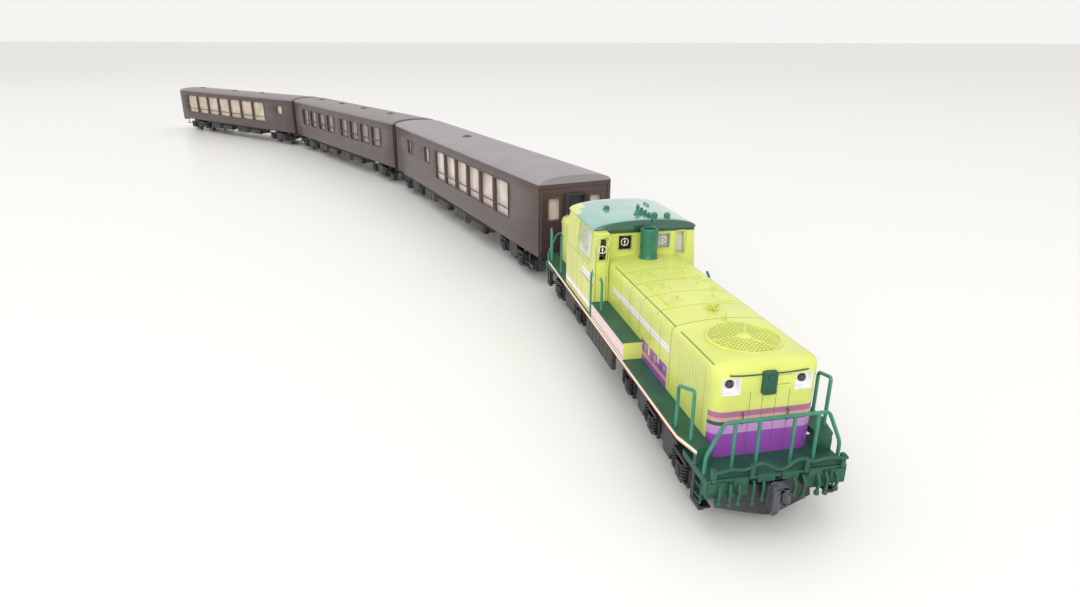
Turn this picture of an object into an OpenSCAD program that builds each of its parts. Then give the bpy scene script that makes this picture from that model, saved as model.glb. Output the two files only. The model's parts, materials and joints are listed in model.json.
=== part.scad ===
// Model train, N gauge: a five-axle diesel locomotive with its cab off centre, and three coaches.
// It stands on its wheel flanges along a curve. +X is forward at the locomotive, +Z is up, and the
// curve's centre lies on the -Y side. The origin is under the middle of the locomotive.

/* [Track] */
// Mean radius of the curve that the train stands on
curve_r = 615; // [500:5:1500]
// Turn of the first coach against the locomotive
first_turn = 13.4; // [10:0.1:14]
// Turn of the second coach against the first
second_turn = 9.4; // [7:0.1:14]
// Turn of the third coach against the second
third_turn = 15.8; // [10:0.1:17]
// Height of the rail top above the lowest point of the flanges
rail_z = 0.55; // [0.45:0.05:0.65]

/* [Locomotive] */
// Half of the distance between the end beams
loco_end = 43.5; // [43:0.1:45]
// Half of the width over the walkways
walk_half = 9.75; // [9.6:0.05:10]
// Half of the hood width
hood_half = 6.85; // [6.6:0.05:7]
// Height of the walkways above the rail
walk_z = 9.6; // [9.5:0.05:9.8]
// Height of the hood shoulder above the rail
shoulder_z = 18.3; // [17.5:0.1:19]
// Height of the hood crown above the rail
crown_z = 19.65; // [19.2:0.05:20.5]
// Front face of the long hood
nose_x = 39.1; // [38.5:0.1:40]
// Front wall of the cab
cab_front = -4.5; // [-5:0.1:-4]
// Rear wall of the cab
cab_rear = -21; // [-22:0.1:-20.5]
// Height of the cab eaves above the rail
eave_z = 24.1; // [23.8:0.1:24.6]
// Height of the cab roof crown above the rail
roof_z = 25.8; // [25.6:0.1:27]

/* [Running gear] */
// Tread diameter of every wheel
wheel_d = 5.7; // [5.4:0.1:5.9]
// Diameter of the locomotive's axles
axle_d = 1.5; // [1.3:0.1:1.6]
// Radial clearance of turning fits
fit = 0.05; // [0.03:0.01:0.08]
// Pivot of the three-axle truck
front_pivot = 23; // [22.5:0.5:23.5]
// Pivot of the two-axle truck
rear_pivot = -27; // [-27.5:0.5:-26.5]

/* [Coaches] */
// Length of a coach body
coach_l = 130.4; // [129:0.2:131]
// Half of the width of a coach body
coach_half = 9.4; // [9.3:0.05:9.6]
// Distance between the two pins of a coupling
pin_gap = 14.2; // [14:0.1:17]
// Distance between a coach's truck pivots
coach_base = 94; // [92:1:95]

/* [Hidden] */

$fn = 48;
lime = [0.84, 0.89, 0.36];
deck_green = [0.16, 0.38, 0.29];
roof_green = [0.18, 0.45, 0.34];
black = [0.10, 0.10, 0.10];
dark_grey = [0.25, 0.26, 0.28];
pale_grey = [0.62, 0.64, 0.64];
brown = [0.38, 0.33, 0.32];
roof_mauve = [0.68, 0.65, 0.67];
clear = [0.85, 0.90, 0.92, 0.5];
steel = [0.72, 0.73, 0.75];
brass = [0.78, 0.64, 0.30];
wall = 0.8;
eps = 0.01;

loco_mid = (front_pivot + rear_pivot) / 2;
truck_turn = asin(coach_base / 2 / curve_r);

// Couplers: every one turns on an upright pin under the end of its vehicle
loco_pin = 39.5;
coach_pin = 61;
pin_r = 0.8;
coupler_z = 5.9;
coupler_h = 1;
eye_r = 1.6;
shank_w = 1.5;
knuckle_pitch = 4.5;
head_drop = 3;
free_shank = 6.2;
short_shank = 3.1;
function along(p, a, d) = [p[0] + d * cos(a), p[1] + d * sin(a)];

// Where the vehicles stand: every coupling points half way between its two vehicles
turns = [0, first_turn, second_turn, third_turn];
function coach_turn(i) = i == 0 ? 0 : coach_turn(i - 1) + turns[i];
function rear_pin(i) = i == 0 ? [-loco_pin, 0] : along(coach_pos(i), coach_turn(i), -coach_pin);
function front_pin(i) = along(rear_pin(i - 1), (coach_turn(i - 1) + coach_turn(i)) / 2, -pin_gap);
function coach_pos(i) = along(front_pin(i), coach_turn(i), -coach_pin);

// Levels above the floor
axle_z = rail_z + wheel_d / 2;
flange_r = axle_z;
walk_top = rail_z + walk_z;
walk_t = 0.9;
shaft_z = 13.7;
shaft_r = 0.5;
plate_z = 8.4;
plate_front = 37;
plate_rear = -35.8;
plate_t = 1.2;
apron_top = rail_z + 7.3;
apron_t = 0.9;
beam_low = rail_z + 4.9;
beam_t = 1.2;
well_x = 36.5;

// Wheels, axles and gears
back_to_back = 7.4;
wheel_w = 2.2;
flange_w = 0.6;
axle_r = axle_d / 2;
gear_w = 1.6;
gear_m = 0.3;
addendum = 0.8 * gear_m;
dedendum = 1.15 * gear_m;
axle_teeth = 14;
front_teeth = 23;
rear_teeth = 39;
worm_pitch_r = 1.3;
worm_r = 1;
front_bull_z = shaft_z - worm_pitch_r - front_teeth * gear_m / 2;
rear_bull_z = shaft_z - worm_pitch_r - rear_teeth * gear_m / 2;
front_step = 11.8;
rear_step = sqrt(pow((rear_teeth + axle_teeth) * gear_m / 2, 2) - pow(rear_bull_z - axle_z, 2));
stub_r = 0.7;

// Truck frames of the locomotive
box_in = 1.3;
box_out = 2.6;
frame_in = 6.5;
frame_out = 7.3;
frame_low = 2;
frame_top = 5.9;
box_low = 1.3;
box_top = 6.9;
collar_r = 4.4;
collar_z0 = 6.9;
collar_z1 = plate_z + plate_t;
slot_half = 2.4;

// Motor stands and ballast
motor_half = 9;
motor_flat = 3.9;
motor_r = 4.7;
stand_t = 1.2;
ballast_top = 17.4;

// Raised boxes and hood walls
raised_x0 = -2.1;
raised_x1 = 15.5;
raised_top = rail_z + 12.3;
hood_in = hood_half - wall;

// Decks and steps
deck_in = 6;
deck_end = 40.2;
apron_half = 8.8;
notch_half = 3.6;
step_in = 8.1;
step_out = 8.8;
step_z = 2.9;
step_t = 0.6;
step_x = 42;

// Hood details
nose_r = 1.75;
lamp_y = 4.6;
lamp_z = 16.5;
lamp_w = 2.3;
lamp_h = 2.2;
grille_x = 32.3;
grille_r = 4.75;
stack_x = -2.2;
stack_r = 1.5;

// Short hood and cab
short_end = -37.8;
cab_half = 9.6;
eave_half = 9;
lean_z = 15.8;
door_x = raised_x0;
door_y = 6.95;

// Cab windows
pane_z0 = 20.6;
pane_z1 = 23.1;
side_z0 = 19;
side_z1 = 23.2;
side_x0 = -12;
side_x1 = -6.2;
door_pane_y0 = -8.85;
door_pane_y1 = -7.65;
door_pane_z0 = 20.2;
door_pane_z1 = 23.4;

// Cab roof and glass
cab_mid = (cab_front + cab_rear) / 2;
roof_front = cab_front + 0.5;
roof_rear = cab_rear - 0.5;
roof_half = 9.15;
glass_t = 0.5;
stack_top = rail_z + 24.8;

// Handrails
wire_r = 0.24;
wire_y = 9.3;
rail_x = 42;
rail_top = rail_z + 13.75;
bend_z = rail_z + 9.5;
bend_y = 6.5;
leg_y = 8.5;
hoop_x0 = 35;
hoop_x1 = 38.3;
hoop_y = 8.75;
hoop_z = rail_z + 16.1;
post_x = 2.2;
post_top = rail_z + 17.6;

// Tank
tank_x0 = -5.5;
tank_x1 = 9.8;
tank_front = 5.5;

// Ploughs
plough_x = 42.2;
plough_t = 0.8;
plough_half = 6.3;
plough_low = 2;

// Coach shells
coach_low = rail_z + 6.7;
coach_eave = rail_z + 23.6;
coach_crown = rail_z + 25.4;
coach_wall = 0.8;
floor_z = 7;
floor_top = 8.2;
coach_in = coach_half - coach_wall;
vent_r = 1.8;
seat_z = 12.4;

// Coach trucks
pivot_r = 1.5;
coach_step = 7;
coach_axle_r = 0.6;
journal = 7.5;

// ---------------------------------------------------------------- shared shapes

module ahead(s) rotate([90, 0, 90]) linear_extrude(s) children();

module slab(x0, x1, y0, y1, z0, z1) translate([x0, y0, z0]) cube([x1 - x0, y1 - y0, z1 - z0]);

module pair(x0, x1, y0, y1, z0, z1) {
  slab(x0, x1, y0, y1, z0, z1);
  slab(x0, x1, -y1, -y0, z0, z1);
}

module bar_y(x, z, r, y0, y1) translate([x, y0, z]) rotate([-90, 0, 0]) cylinder(r = r, h = y1 - y0);

module rod(p, q, r) {
  d = q - p;
  translate(p) rotate([0, acos(d[2] / norm(d)), atan2(d[1], d[0])]) cylinder(r = r, h = norm(d), $fn = 6);
}

module rods(path, r) for (i = [0:len(path) - 2]) rod(path[i], path[i + 1], r);

module gear_disc(teeth, w, phase) {
  pr = teeth * gear_m / 2;
  step = 360 / teeth;
  flank = [[pr - dedendum, -0.30], [pr + addendum, -0.10], [pr + addendum, 0.10], [pr - dedendum, 0.30]];
  rotate([90, 0, 0]) translate([0, 0, -w / 2]) linear_extrude(w)
    polygon([for (k = [0:teeth - 1], f = flank) let (a = phase + (k + f[1]) * step)
      [f[0] * cos(a), f[0] * sin(a)]]);
}

module wheel_half() translate([0, back_to_back / 2, 0]) rotate([-90, 0, 0]) rotate_extrude()
  polygon([[0, 0], [flange_r - 0.15, 0], [flange_r, 0.15], [flange_r, 0.35], [wheel_d / 2, flange_w],
    [wheel_d / 2, wheel_w], [0, wheel_w]]);

module wheelset(r, reach) {
  wheel_half();
  mirror([0, 1, 0]) wheel_half();
  translate([0, -reach, 0]) rotate([-90, 0, 0]) cylinder(r = r, h = 2 * reach);
}

// ---------------------------------------------------------------- locomotive: places

module loco_truck(x) translate([x, 0, 0]) rotate([0, 0, -asin((x - loco_mid) / curve_r)]) children();

// ---------------------------------------------------------------- locomotive: frame and deck

module loco_chassis() color(dark_grey) {
  saddle_z = shaft_z - motor_flat;
  difference() {
    slab(plate_rear, plate_front, -6, 6, plate_z, plate_z + plate_t);
    for (x = [front_pivot, rear_pivot]) translate([x, 0, plate_z - 1]) cylinder(r = collar_r + fit, h = 4);
    for (x = [front_pivot, rear_pivot]) slab(x - 7.4, x + 7.4, -slot_half, slot_half, plate_z - 1, 12);
  }
  slab(-motor_half, motor_half, -5, 5, plate_z + plate_t, saddle_z);
  for (x = [-19.4, 14.2]) bearing_stand(x);
  slab(31, 37.6, -5.6, 5.6, plate_z + plate_t, ballast_top);
  slab(-36.5, -34.6, -5.6, 5.6, plate_z + plate_t, ballast_top);
}

module bearing_stand(x) difference() {
  slab(x, x + stand_t, -2, 2, plate_z + plate_t, shaft_z + 1.6);
  translate([x - 1, 0, shaft_z]) rotate([0, 90, 0]) cylinder(r = shaft_r + fit, h = stand_t + 2);
}

module running_boards() color(deck_green) {
  difference() {
    union() {
      pair(-well_x, well_x, deck_in, walk_half, walk_top - walk_t, walk_top);
      pair(raised_x0, raised_x1, hood_half, walk_half, walk_top - eps, raised_top);
      for (s = [0, 1]) mirror([s, 0, 0]) end_platform();
    }
    for (s = [0, 1]) mirror([s, 0, 0]) beam_notch();
    pair(raised_x0 - 1, raised_x1 - wall, hood_half + wall, walk_half - wall, walk_top, raised_top - wall);
  }
  for (s = [-1, 1]) coupler_pin([s * loco_pin, 0], apron_top - apron_t);
}

// Half of the walkway that narrows beside the nose
module deck_wing() translate([0, 0, walk_top - walk_t]) linear_extrude(walk_t)
  polygon([[well_x, hood_half], [well_x, walk_half], [deck_end, apron_half], [deck_end, hood_half]]);

module end_platform() {
  for (s = [0, 1]) mirror([0, s, 0]) deck_wing();
  slab(well_x, loco_end, -apron_half, apron_half, apron_top - apron_t, apron_top);
  pair(deck_end - wall, deck_end, hood_half, apron_half, apron_top - apron_t, walk_top);
  slab(loco_end - beam_t, loco_end, -apron_half, apron_half, beam_low, apron_top);
  pair(deck_end - wall, deck_end, step_in, step_out, step_z, walk_top - walk_t + eps);
  pair(deck_end - wall, step_x, step_in, step_out, step_z, step_z + step_t);
}

module beam_notch() slab(loco_end - 2, loco_end + 1, -notch_half, notch_half, 0, coupler_z + coupler_h + 0.5);

module coupler_pin(p, top) translate([p[0], p[1], coupler_z - 0.45]) {
  cylinder(r = pin_r, h = top - coupler_z + 0.45 + eps);
  cylinder(r = pin_r + 0.4, h = 0.35);
}

// ---------------------------------------------------------------- locomotive: body shells

// Half outline of the hood from the side wall over the rounded shoulder to the crown
function hood_edge(inset) = [for (k = [0:10]) let (a = k * 9, y = (hood_half - inset) * pow(cos(a), 0.35))
  [y, shoulder_z - 0.9 - inset + (crown_z - shoulder_z + 0.9) * pow(sin(a), 0.8)]];

module hood_section(inset, low) {
  edge = hood_edge(inset);
  flipped = [for (k = [len(edge) - 2:-1:0]) [-edge[k][0], edge[k][1]]];
  base = [[hood_half - inset, low], [inset - hood_half, low]];
  translate([0, rail_z]) polygon(concat([base[0]], edge, flipped, [base[1]]));
}

module nose_plan(inset) translate([0, -hood_half + inset]) {
  w = 2 * (hood_half - inset);
  r = nose_r - inset / 2;
  square([nose_x - inset - r, w]);
  translate([0, r]) square([nose_x - inset, w - 2 * r]);
  for (y = [r, w - r]) translate([nose_x - inset - r, y]) circle(r = r);
}

module lamp_holes(x, d) for (s = [-1, 1])
  slab(x - d, x + d, s * lamp_y - lamp_w / 2, s * lamp_y + lamp_w / 2,
    rail_z + lamp_z - lamp_h / 2, rail_z + lamp_z + lamp_h / 2);

module long_hood() color(lime) difference() {
  intersection() {
    translate([cab_front, 0, 0]) ahead(60) hood_section(0, 7);
    linear_extrude(40) union() {
      nose_plan(0);
      translate([cab_front, -hood_half]) square([10, 2 * hood_half]);
    }
  }
  intersection() {
    translate([cab_front - 1, 0, 0]) ahead(60) hood_section(wall, 0);
    linear_extrude(40) union() {
      nose_plan(wall);
      translate([cab_front - 1, -hood_in]) square([10, 2 * hood_in]);
    }
  }
  slab(cab_front - 1, well_x, -10, 10, 0, walk_top);
  slab(well_x - 1, 50, -10, 10, 0, apron_top);
  lamp_holes(nose_x, 1.5);
  translate([stack_x, 0, shaft_z]) cylinder(r = stack_r + eps, h = 12);
  translate([grille_x, 0, rail_z + crown_z - 0.35]) cylinder(r = grille_r, h = 2);
}

module short_hood() color(lime) difference() {
  intersection() {
    translate([-45, 0, 0]) ahead(45 + cab_rear) hood_section(0, 7);
    linear_extrude(40) mirror([1, 0]) translate([-short_end - nose_x, 0]) nose_plan(0);
  }
  intersection() {
    translate([-45, 0, 0]) ahead(46 + cab_rear) hood_section(wall, 0);
    linear_extrude(40) mirror([1, 0]) translate([-short_end - nose_x, 0]) nose_plan(wall);
  }
  slab(-well_x, cab_rear + 1, -10, 10, 0, walk_top);
  slab(-50, -well_x + 1, -10, 10, 0, apron_top);
  lamp_holes(short_end, 1.5);
}

function cab_edge(inset, top) = [[cab_half - inset, walk_z], [cab_half - inset, lean_z],
  [eave_half - inset, top]];

module cab_section(inset, top, low) {
  e = cab_edge(inset, top);
  translate([0, rail_z]) polygon([[e[0][0], low], e[1], e[2], [-e[2][0], top], [-e[1][0], lean_z],
    [-e[0][0], low]]);
}

module door_block(inset) ahead(door_x - cab_front - inset + 1) intersection() {
  cab_section(inset, eave_z - 0.1 - inset, walk_z);
  translate([-cab_half, 0]) square([cab_half - door_y - inset, 40]);
}

module window_row(y0, y1, z0, z1, x0, x1) slab(x0, x1, y0, y1, rail_z + z0, rail_z + z1);

module cab_windows() {
  for (s = [-1, 1]) {
    window_row(s * 3.4 - 1.15, s * 3.4 + 1.15, pane_z0, pane_z1, cab_rear - 1, cab_front + 1);
  }
  window_row(5.9, 7.3, 19.5, 23.4, cab_front - 2, cab_front + 1);
  window_row(-7.3, -5.9, 19.5, 23.4, cab_rear - 1, cab_rear + 2);
  for (a = [0, 180]) about_cab(a) {
    window_row(door_pane_y0, door_pane_y1, door_pane_z0, door_pane_z1, door_x - 2, door_x + 1);
    window_row(-12, 0, side_z0, side_z1, side_x0, side_x1);
  }
}

module about_cab(a) translate([cab_mid, 0, 0]) rotate([0, 0, a]) translate([-cab_mid, 0, 0]) children();

module turned_cab() about_cab(180) children();

module cab_shell() color(lime) difference() {
  union() {
    translate([cab_rear, 0, 0]) ahead(cab_front - cab_rear) cab_section(0, eave_z, walk_z);
    translate([cab_front - 1, 0, 0]) door_block(0);
    turned_cab() translate([cab_front - 1, 0, 0]) door_block(0);
  }
  translate([cab_rear + wall, 0, 0]) ahead(cab_front - cab_rear - 2 * wall)
    cab_section(wall, eave_z + 1, walk_z - 1);
  translate([cab_front - 1.5, 0, -eps]) door_block(wall);
  turned_cab() translate([cab_front - 1.5, 0, -eps]) door_block(wall);
  slab(cab_front - 2, cab_front + 1, -hood_in, hood_in, 0, rail_z + shoulder_z - 1);
  slab(cab_rear - 1, cab_rear + 2, -hood_in, hood_in, 0, rail_z + shoulder_z - 1);
  cab_windows();
}

function roof_arc(half, low, high) = [for (k = [-12:12]) let (a = k * 7.5)
  [half * sin(a), low + (high - low) * pow(cos(a), 0.9)]];

module cab_roof() color(roof_green) {
  difference() {
    translate([roof_rear, 0, rail_z]) ahead(roof_front - roof_rear)
      polygon(roof_arc(roof_half, eave_z, roof_z));
    translate([cab_rear + wall, 0, rail_z]) ahead(cab_front - cab_rear - 2 * wall)
      polygon(roof_arc(roof_half - wall, eave_z - eps, roof_z - wall));
  }
  translate([-7.7, 0, rail_z + roof_z - 0.4]) cylinder(r1 = 0.75, r2 = 0.2, h = 2.3);
  for (y = [1.7, 4]) translate([-4.8, y, rail_z + roof_z - 0.9]) cylinder(r = 0.55, h = 1.2);
  translate([-13.4, -4.2, rail_z + roof_z - 0.7]) cylinder(r = 0.8, h = 1.5);
  slab(-9.4, -5.2, 0.6, 1.3, rail_z + roof_z - 0.3, rail_z + roof_z + 0.6);
}

module cab_glazing() color(clear) {
  slab(cab_front - wall - glass_t, cab_front - wall, -6.9, 7.6, rail_z + 19.2, rail_z + 23.6);
  slab(cab_rear + wall, cab_rear + wall + glass_t, -7.6, 6.9, rail_z + 19.2, rail_z + 23.6);
  pair(-19.4, -5.9, 7.7, 7.7 + glass_t, rail_z + 18.6, rail_z + 23.6);
  for (a = [0, 180]) about_cab(a) slab(door_x - 0.65, door_x - 0.65 + glass_t, door_pane_y0, door_pane_y1,
    rail_z + door_pane_z0, rail_z + door_pane_z1);
}

module exhaust_stack() color(roof_green) translate([stack_x, 0, 0]) difference() {
  translate([0, 0, 18.6]) cylinder(r = stack_r, h = stack_top - 18.6);
  translate([0, 0, 22]) cylinder(r = stack_r - 0.35, h = 10);
}

module lamp(x, s) for (y = [-lamp_y, lamp_y]) difference() {
  slab(min(x, x - s * 1.2), max(x, x - s * 1.2), y - lamp_w / 2, y + lamp_w / 2,
    rail_z + lamp_z - lamp_h / 2, rail_z + lamp_z + lamp_h / 2);
  slab(min(x + s, x - s * 0.7), max(x + s, x - s * 0.7), y - lamp_w / 2 + 0.3, y + lamp_w / 2 - 0.3,
    rail_z + lamp_z - lamp_h / 2 + 0.3, rail_z + lamp_z + lamp_h / 2 - 0.3);
}

module headlights() color("white") {
  lamp(nose_x, 1);
  lamp(short_end, -1);
}

// ---------------------------------------------------------------- locomotive: rails, tank and ploughs

module end_rail() {
  foot = apron_top - 0.2;
  rods([[rail_x, -leg_y, foot], [rail_x, -leg_y, bend_z], [rail_x, -bend_y, rail_top],
    [rail_x, bend_y, rail_top], [rail_x, leg_y, bend_z], [rail_x, leg_y, foot]], wire_r);
  for (y = [-5.2, -2.2, 2.2, 5.2]) rod([rail_x, y, foot], [rail_x, y, rail_top], wire_r);
}

module side_hoop() rods([[hoop_x0, wire_y, walk_top], [hoop_x0, wire_y, hoop_z - 0.9],
  [hoop_x1, hoop_y, hoop_z], [hoop_x1, hoop_y, walk_top - walk_t / 2]], wire_r);

module handrails() color([0.25, 0.55, 0.42]) for (a = [0, 1]) mirror([a, 0, 0]) {
  end_rail();
  for (b = [0, 1]) mirror([0, b, 0]) side_hoop();
  for (b = [0, 1]) mirror([0, b, 0]) cab_post(a);
}

module cab_post(a) {
  x = a == 0 ? post_x : 26.6;
  low = a == 0 ? raised_top : walk_top;
  rods([[x, wire_y, low - 0.1], [x, wire_y, post_top - 0.5], [x - 0.9, wire_y, post_top]], wire_r);
}

module fuel_tank() color(pale_grey) {
  slab(tank_x0, tank_front, -8.9, 8.9, rail_z + 5.2, plate_z);
  pair(tank_x0, tank_x1, 8.9, 9.6, rail_z + 5.2, walk_top - walk_t);
}

module snow_ploughs() color(dark_grey) for (a = [0, 1]) mirror([a, 0, 0]) {
  tip = [plough_x, 0];
  end = [plough_x - 1.5, plough_half];
  translate([0, 0, plough_low]) linear_extrude(beam_low - plough_low)
    polygon([tip, end, end - [plough_t, 0], tip - [plough_t, 0], [end[0] - plough_t, -end[1]],
      [end[0], -end[1]]]);
  pair(end[0] - plough_t, loco_end - 0.3, plough_half - 1.9, plough_half - 0.1, beam_low - 0.8, beam_low);
}

// ---------------------------------------------------------------- locomotive: drive

module motor_case() color(steel) intersection() {
  difference() {
    translate([-motor_half, 0, shaft_z]) rotate([0, 90, 0]) cylinder(r = motor_r, h = 2 * motor_half);
    translate([-motor_half - 1, 0, shaft_z]) rotate([0, 90, 0])
      cylinder(r = shaft_r + fit, h = 2 * motor_half + 2);
  }
  slab(-motor_half, motor_half, -motor_r, motor_r, shaft_z - motor_flat, shaft_z + motor_flat);
}

module motor_shaft() color(steel)
  translate([rear_pivot - 3, 0, shaft_z]) rotate([0, 90, 0])
    cylinder(r = shaft_r, h = front_pivot - rear_pivot + 6);

module ring(x, r, l) translate([x, 0, shaft_z]) rotate([0, 90, 0]) difference() {
  cylinder(r = r, h = l);
  translate([0, 0, -1]) cylinder(r = shaft_r, h = l + 2);
}

module flywheels() color(brass) for (x = [-16.6, 9.8]) ring(x, 3.7, 3.8);

module worms() color(brass) for (x = [rear_pivot, front_pivot]) ring(x - 2.2, worm_r, 4.4);

module truck_box(step, axles, bull_z, tower) difference() {
  union() {
    pair(-step - 1.7, step + 1.7, box_in, box_out, box_low, box_top);
    pair(-2, 2, box_in, box_out, box_top - eps, tower);
    intersection() {
      translate([0, 0, collar_z0 - eps]) cylinder(r = collar_r, h = collar_z1 - collar_z0);
      pair(-10, 10, box_in, 10, 0, 20);
    }
  }
  for (x = axles) translate([x, -10, axle_z]) rotate([-90, 0, 0]) cylinder(r = axle_r + fit, h = 20);
  translate([0, -10, bull_z]) rotate([-90, 0, 0]) cylinder(r = stub_r + fit, h = 20);
}

module side_frame(end, axles) difference() {
  pair(-end, end, frame_in, frame_out, frame_low, frame_top);
  for (x = [for (a = axles, d = [-1, 1]) a + d * 3.3])
    pair(x - 1.2, x + 1.2, frame_in - 1, frame_out + 1, frame_low - 1, frame_low + 1.1);
}

module truck_arm(x, half) pair(x - half, x + half, box_out - eps, frame_in + eps, 4.9, frame_top);

module closing_bar(x, half, low) slab(x - half, x + half, -box_in - eps, box_in + eps, low, box_top);

module front_truck_frame() color(black) loco_truck(front_pivot) {
  axles = [-front_step, 0, front_step];
  truck_box(front_step, axles, front_bull_z, front_bull_z + 1.4);
  side_frame(front_step + 2.4, axles);
  for (x = [-front_step, front_step] / 2) truck_arm(x, 1.3);
  for (x = [-1, 1]) closing_bar(x * (front_step + 1.3), 0.4, box_low);
}

module rear_truck_frame() color(black) loco_truck(rear_pivot) {
  axles = [-rear_step, rear_step];
  truck_box(rear_step, axles, rear_bull_z, box_top + 1);
  side_frame(rear_step + 2.4, axles);
  truck_arm(0, 2.2);
  for (x = [-1, 1]) closing_bar(x * rear_step, 0.7, 5.95);
}

module bull_gear(teeth, z, phase) translate([0, 0, z]) {
  gear_disc(teeth, gear_w, phase);
  bar_y(0, 0, stub_r, -box_out + 0.1, box_out - 0.1);
}

// Turn of a gear whose tooth gap faces a tooth of its neighbour
function meshed(a, teeth, other, phase) = a + 180 + (180 - (phase - a) * other) / teeth;

module front_bull_gear() color(brass) loco_truck(front_pivot) bull_gear(front_teeth, front_bull_z, 0);

module rear_bull_gear() color(brass) loco_truck(rear_pivot) bull_gear(rear_teeth, rear_bull_z, 0);

function drop(s) = atan2(axle_z - rear_bull_z, s * rear_step);

module driven(teeth_phase) {
  wheelset(axle_r, 5.95);
  gear_disc(axle_teeth, gear_w, teeth_phase);
}

module front_wheelset(k) color(steel) loco_truck(front_pivot) translate([(2 - k) * front_step, 0, axle_z])
  if (k == 2) driven(meshed(-90, axle_teeth, front_teeth, 0)); else wheelset(axle_r, 5.95);

module rear_wheelset(k) color(steel) loco_truck(rear_pivot) translate([(3 - 2 * k) * rear_step, 0, axle_z])
  driven(meshed(drop(3 - 2 * k), axle_teeth, rear_teeth, 0));

// ---------------------------------------------------------------- couplers

// Plan of a knuckle: a block, a finger on the right and its lip, which hooks behind the other's lip
module knuckle() {
  translate([0, -1.5]) square([1.2, 3]);
  translate([0, -1.5]) square([3, 0.6]);
  translate([2.4, -1.5]) square([0.6, 1.9]);
}

module coupler(reach) translate([0, 0, coupler_z]) difference() {
  union() {
    cylinder(r = eye_r, h = coupler_h);
    translate([0, -shank_w / 2, 0]) cube([reach + eps, shank_w, coupler_h]);
    translate([reach, 0, -head_drop]) linear_extrude(coupler_h + head_drop) knuckle();
  }
  translate([0, 0, -2]) cylinder(r = pin_r + fit, h = 5);
}

module front_coupler() color(dark_grey) translate([loco_pin, 0, 0]) coupler(short_shank);

module tail_coupler() color(dark_grey) {
  p = rear_pin(3);
  translate([p[0], p[1], 0]) rotate([0, 0, coach_turn(3) + 180]) coupler(free_shank);
}

module coupler_pair(i) color(dark_grey) {
  a = rear_pin(i - 1);
  b = front_pin(i);
  d = a - b;
  reach = (norm(d) - knuckle_pitch) / 2;
  turn = atan2(d[1], d[0]);
  translate([b[0], b[1], 0]) rotate([0, 0, turn]) coupler(reach);
  translate([a[0], a[1], 0]) rotate([0, 0, turn + 180]) coupler(reach);
}

// ---------------------------------------------------------------- coaches

module in_coach(i) translate([coach_pos(i)[0], coach_pos(i)[1], 0])
  rotate([0, 0, coach_turn(i)]) children();

// Windows of each coach: middle, half width, low and high edge above the rail
function windows(i) = i == 1 ? [for (k = [0:5]) [42.5 - 10.4 * k, 4.5, 12, 21.2]] :
  i == 2 ? [for (k = [0:7]) [47.5 - 12.6 * k - (k > 3 ? 6 : 0), 4.6, 13, 21]] :
  [for (k = [0:6]) [30 - 13.3 * k, 6.1, 11, 21.4]];
function small_windows(i) = i == 1 ? [[-24, 2.3, 16, 20.6], [-48, 2, 14, 20.6]] :
  i == 2 ? [] : [[52, 3, 16, 20.6]];
function all_windows(i) = concat(windows(i), small_windows(i));

module coach_body(i) color(brown) in_coach(i) difference() {
  slab(-coach_l / 2, coach_l / 2, -coach_half, coach_half, coach_low, coach_eave);
  slab(coach_wall - coach_l / 2, coach_l / 2 - coach_wall, -coach_in, coach_in, 0, 40);
  for (w = all_windows(i)) slab(w[0] - w[1], w[0] + w[1], -20, 20, rail_z + w[2], rail_z + w[3]);
  for (s = [-1, 1]) slab(-80, 80, s * 5.4 - 1.7, s * 5.4 + 1.7, rail_z + 15, rail_z + 20.5);
  slab(-80, 80, -1.9, 1.9, rail_z + 9, rail_z + 20.8);
}

function coach_arch(half, low, high) = [for (k = [-14:14]) let (a = k * 90 / 14)
  [half * (a < 0 ? -1 : 1) * pow(abs(sin(a)), 0.75), low + (high - low) * pow(cos(a), 1.1)]];

function vents(i) = i == 1 ? [-9.3] : i == 2 ? [-47, -17, 12, 42] : [-52, -12, 20];

module coach_roof(i) color(roof_mauve) in_coach(i) {
  difference() {
    translate([-coach_l / 2 - 0.2, 0, 0]) ahead(coach_l + 0.4)
      polygon(coach_arch(coach_half + 0.1, coach_eave, coach_crown));
    translate([-coach_l / 2 + coach_wall, 0, 0]) ahead(coach_l - 2 * coach_wall)
      polygon(coach_arch(coach_in, coach_eave - eps, coach_crown - coach_wall));
  }
  for (x = vents(i)) translate([x, 0, coach_crown - 0.3]) cylinder(r = vent_r, h = 0.7);
}

module coach_glazing(i) color(clear) in_coach(i) {
  pair(-coach_l / 2 + 1.6, coach_l / 2 - 1.6, coach_in - glass_t, coach_in, rail_z + 10.5, rail_z + 22.2);
  for (s = [0, 1]) mirror([s, 0, 0]) slab(63.9, 64.4, -8, 8, rail_z + 10.5, rail_z + 22.2);
}

module coach_floor(i) color(black) in_coach(i) {
  slab(coach_wall - coach_l / 2, coach_l / 2 - coach_wall, -coach_in, coach_in, floor_z, floor_top);
  for (s = [-1, 1]) truck_pin(s * coach_base / 2);
  for (s = [-1, 1]) coupler_pin([s * coach_pin, 0], floor_z);
  for (k = [0:3])
    pair(-30 + 16 * k, -19 + 16 * k, 3, 8.6 - 1.3 * (k % 2), 3.4 + 0.8 * (k % 2), floor_z + eps);
  slab(-32, 32, -1.2, 1.2, 5.4, floor_z + eps);
  for (k = [0:7]) pair(-52 + 13.6 * k, -45 + 13.6 * k, 2.2, 8, floor_top - eps, seat_z);
}

module truck_pin(x) translate([x, 0, 4.2]) {
  cylinder(r = pivot_r, h = floor_z - 4.2 + eps);
  cylinder(r = pivot_r + 0.6, h = 0.45);
  translate([0, 0, 6.1 - 4.2]) cylinder(r = 3, h = floor_z - 6.1 + eps);
}

module in_truck(i, s) in_coach(i) translate([s * coach_base / 2, 0, 0])
  rotate([0, 0, -s * truck_turn]) children();

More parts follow.
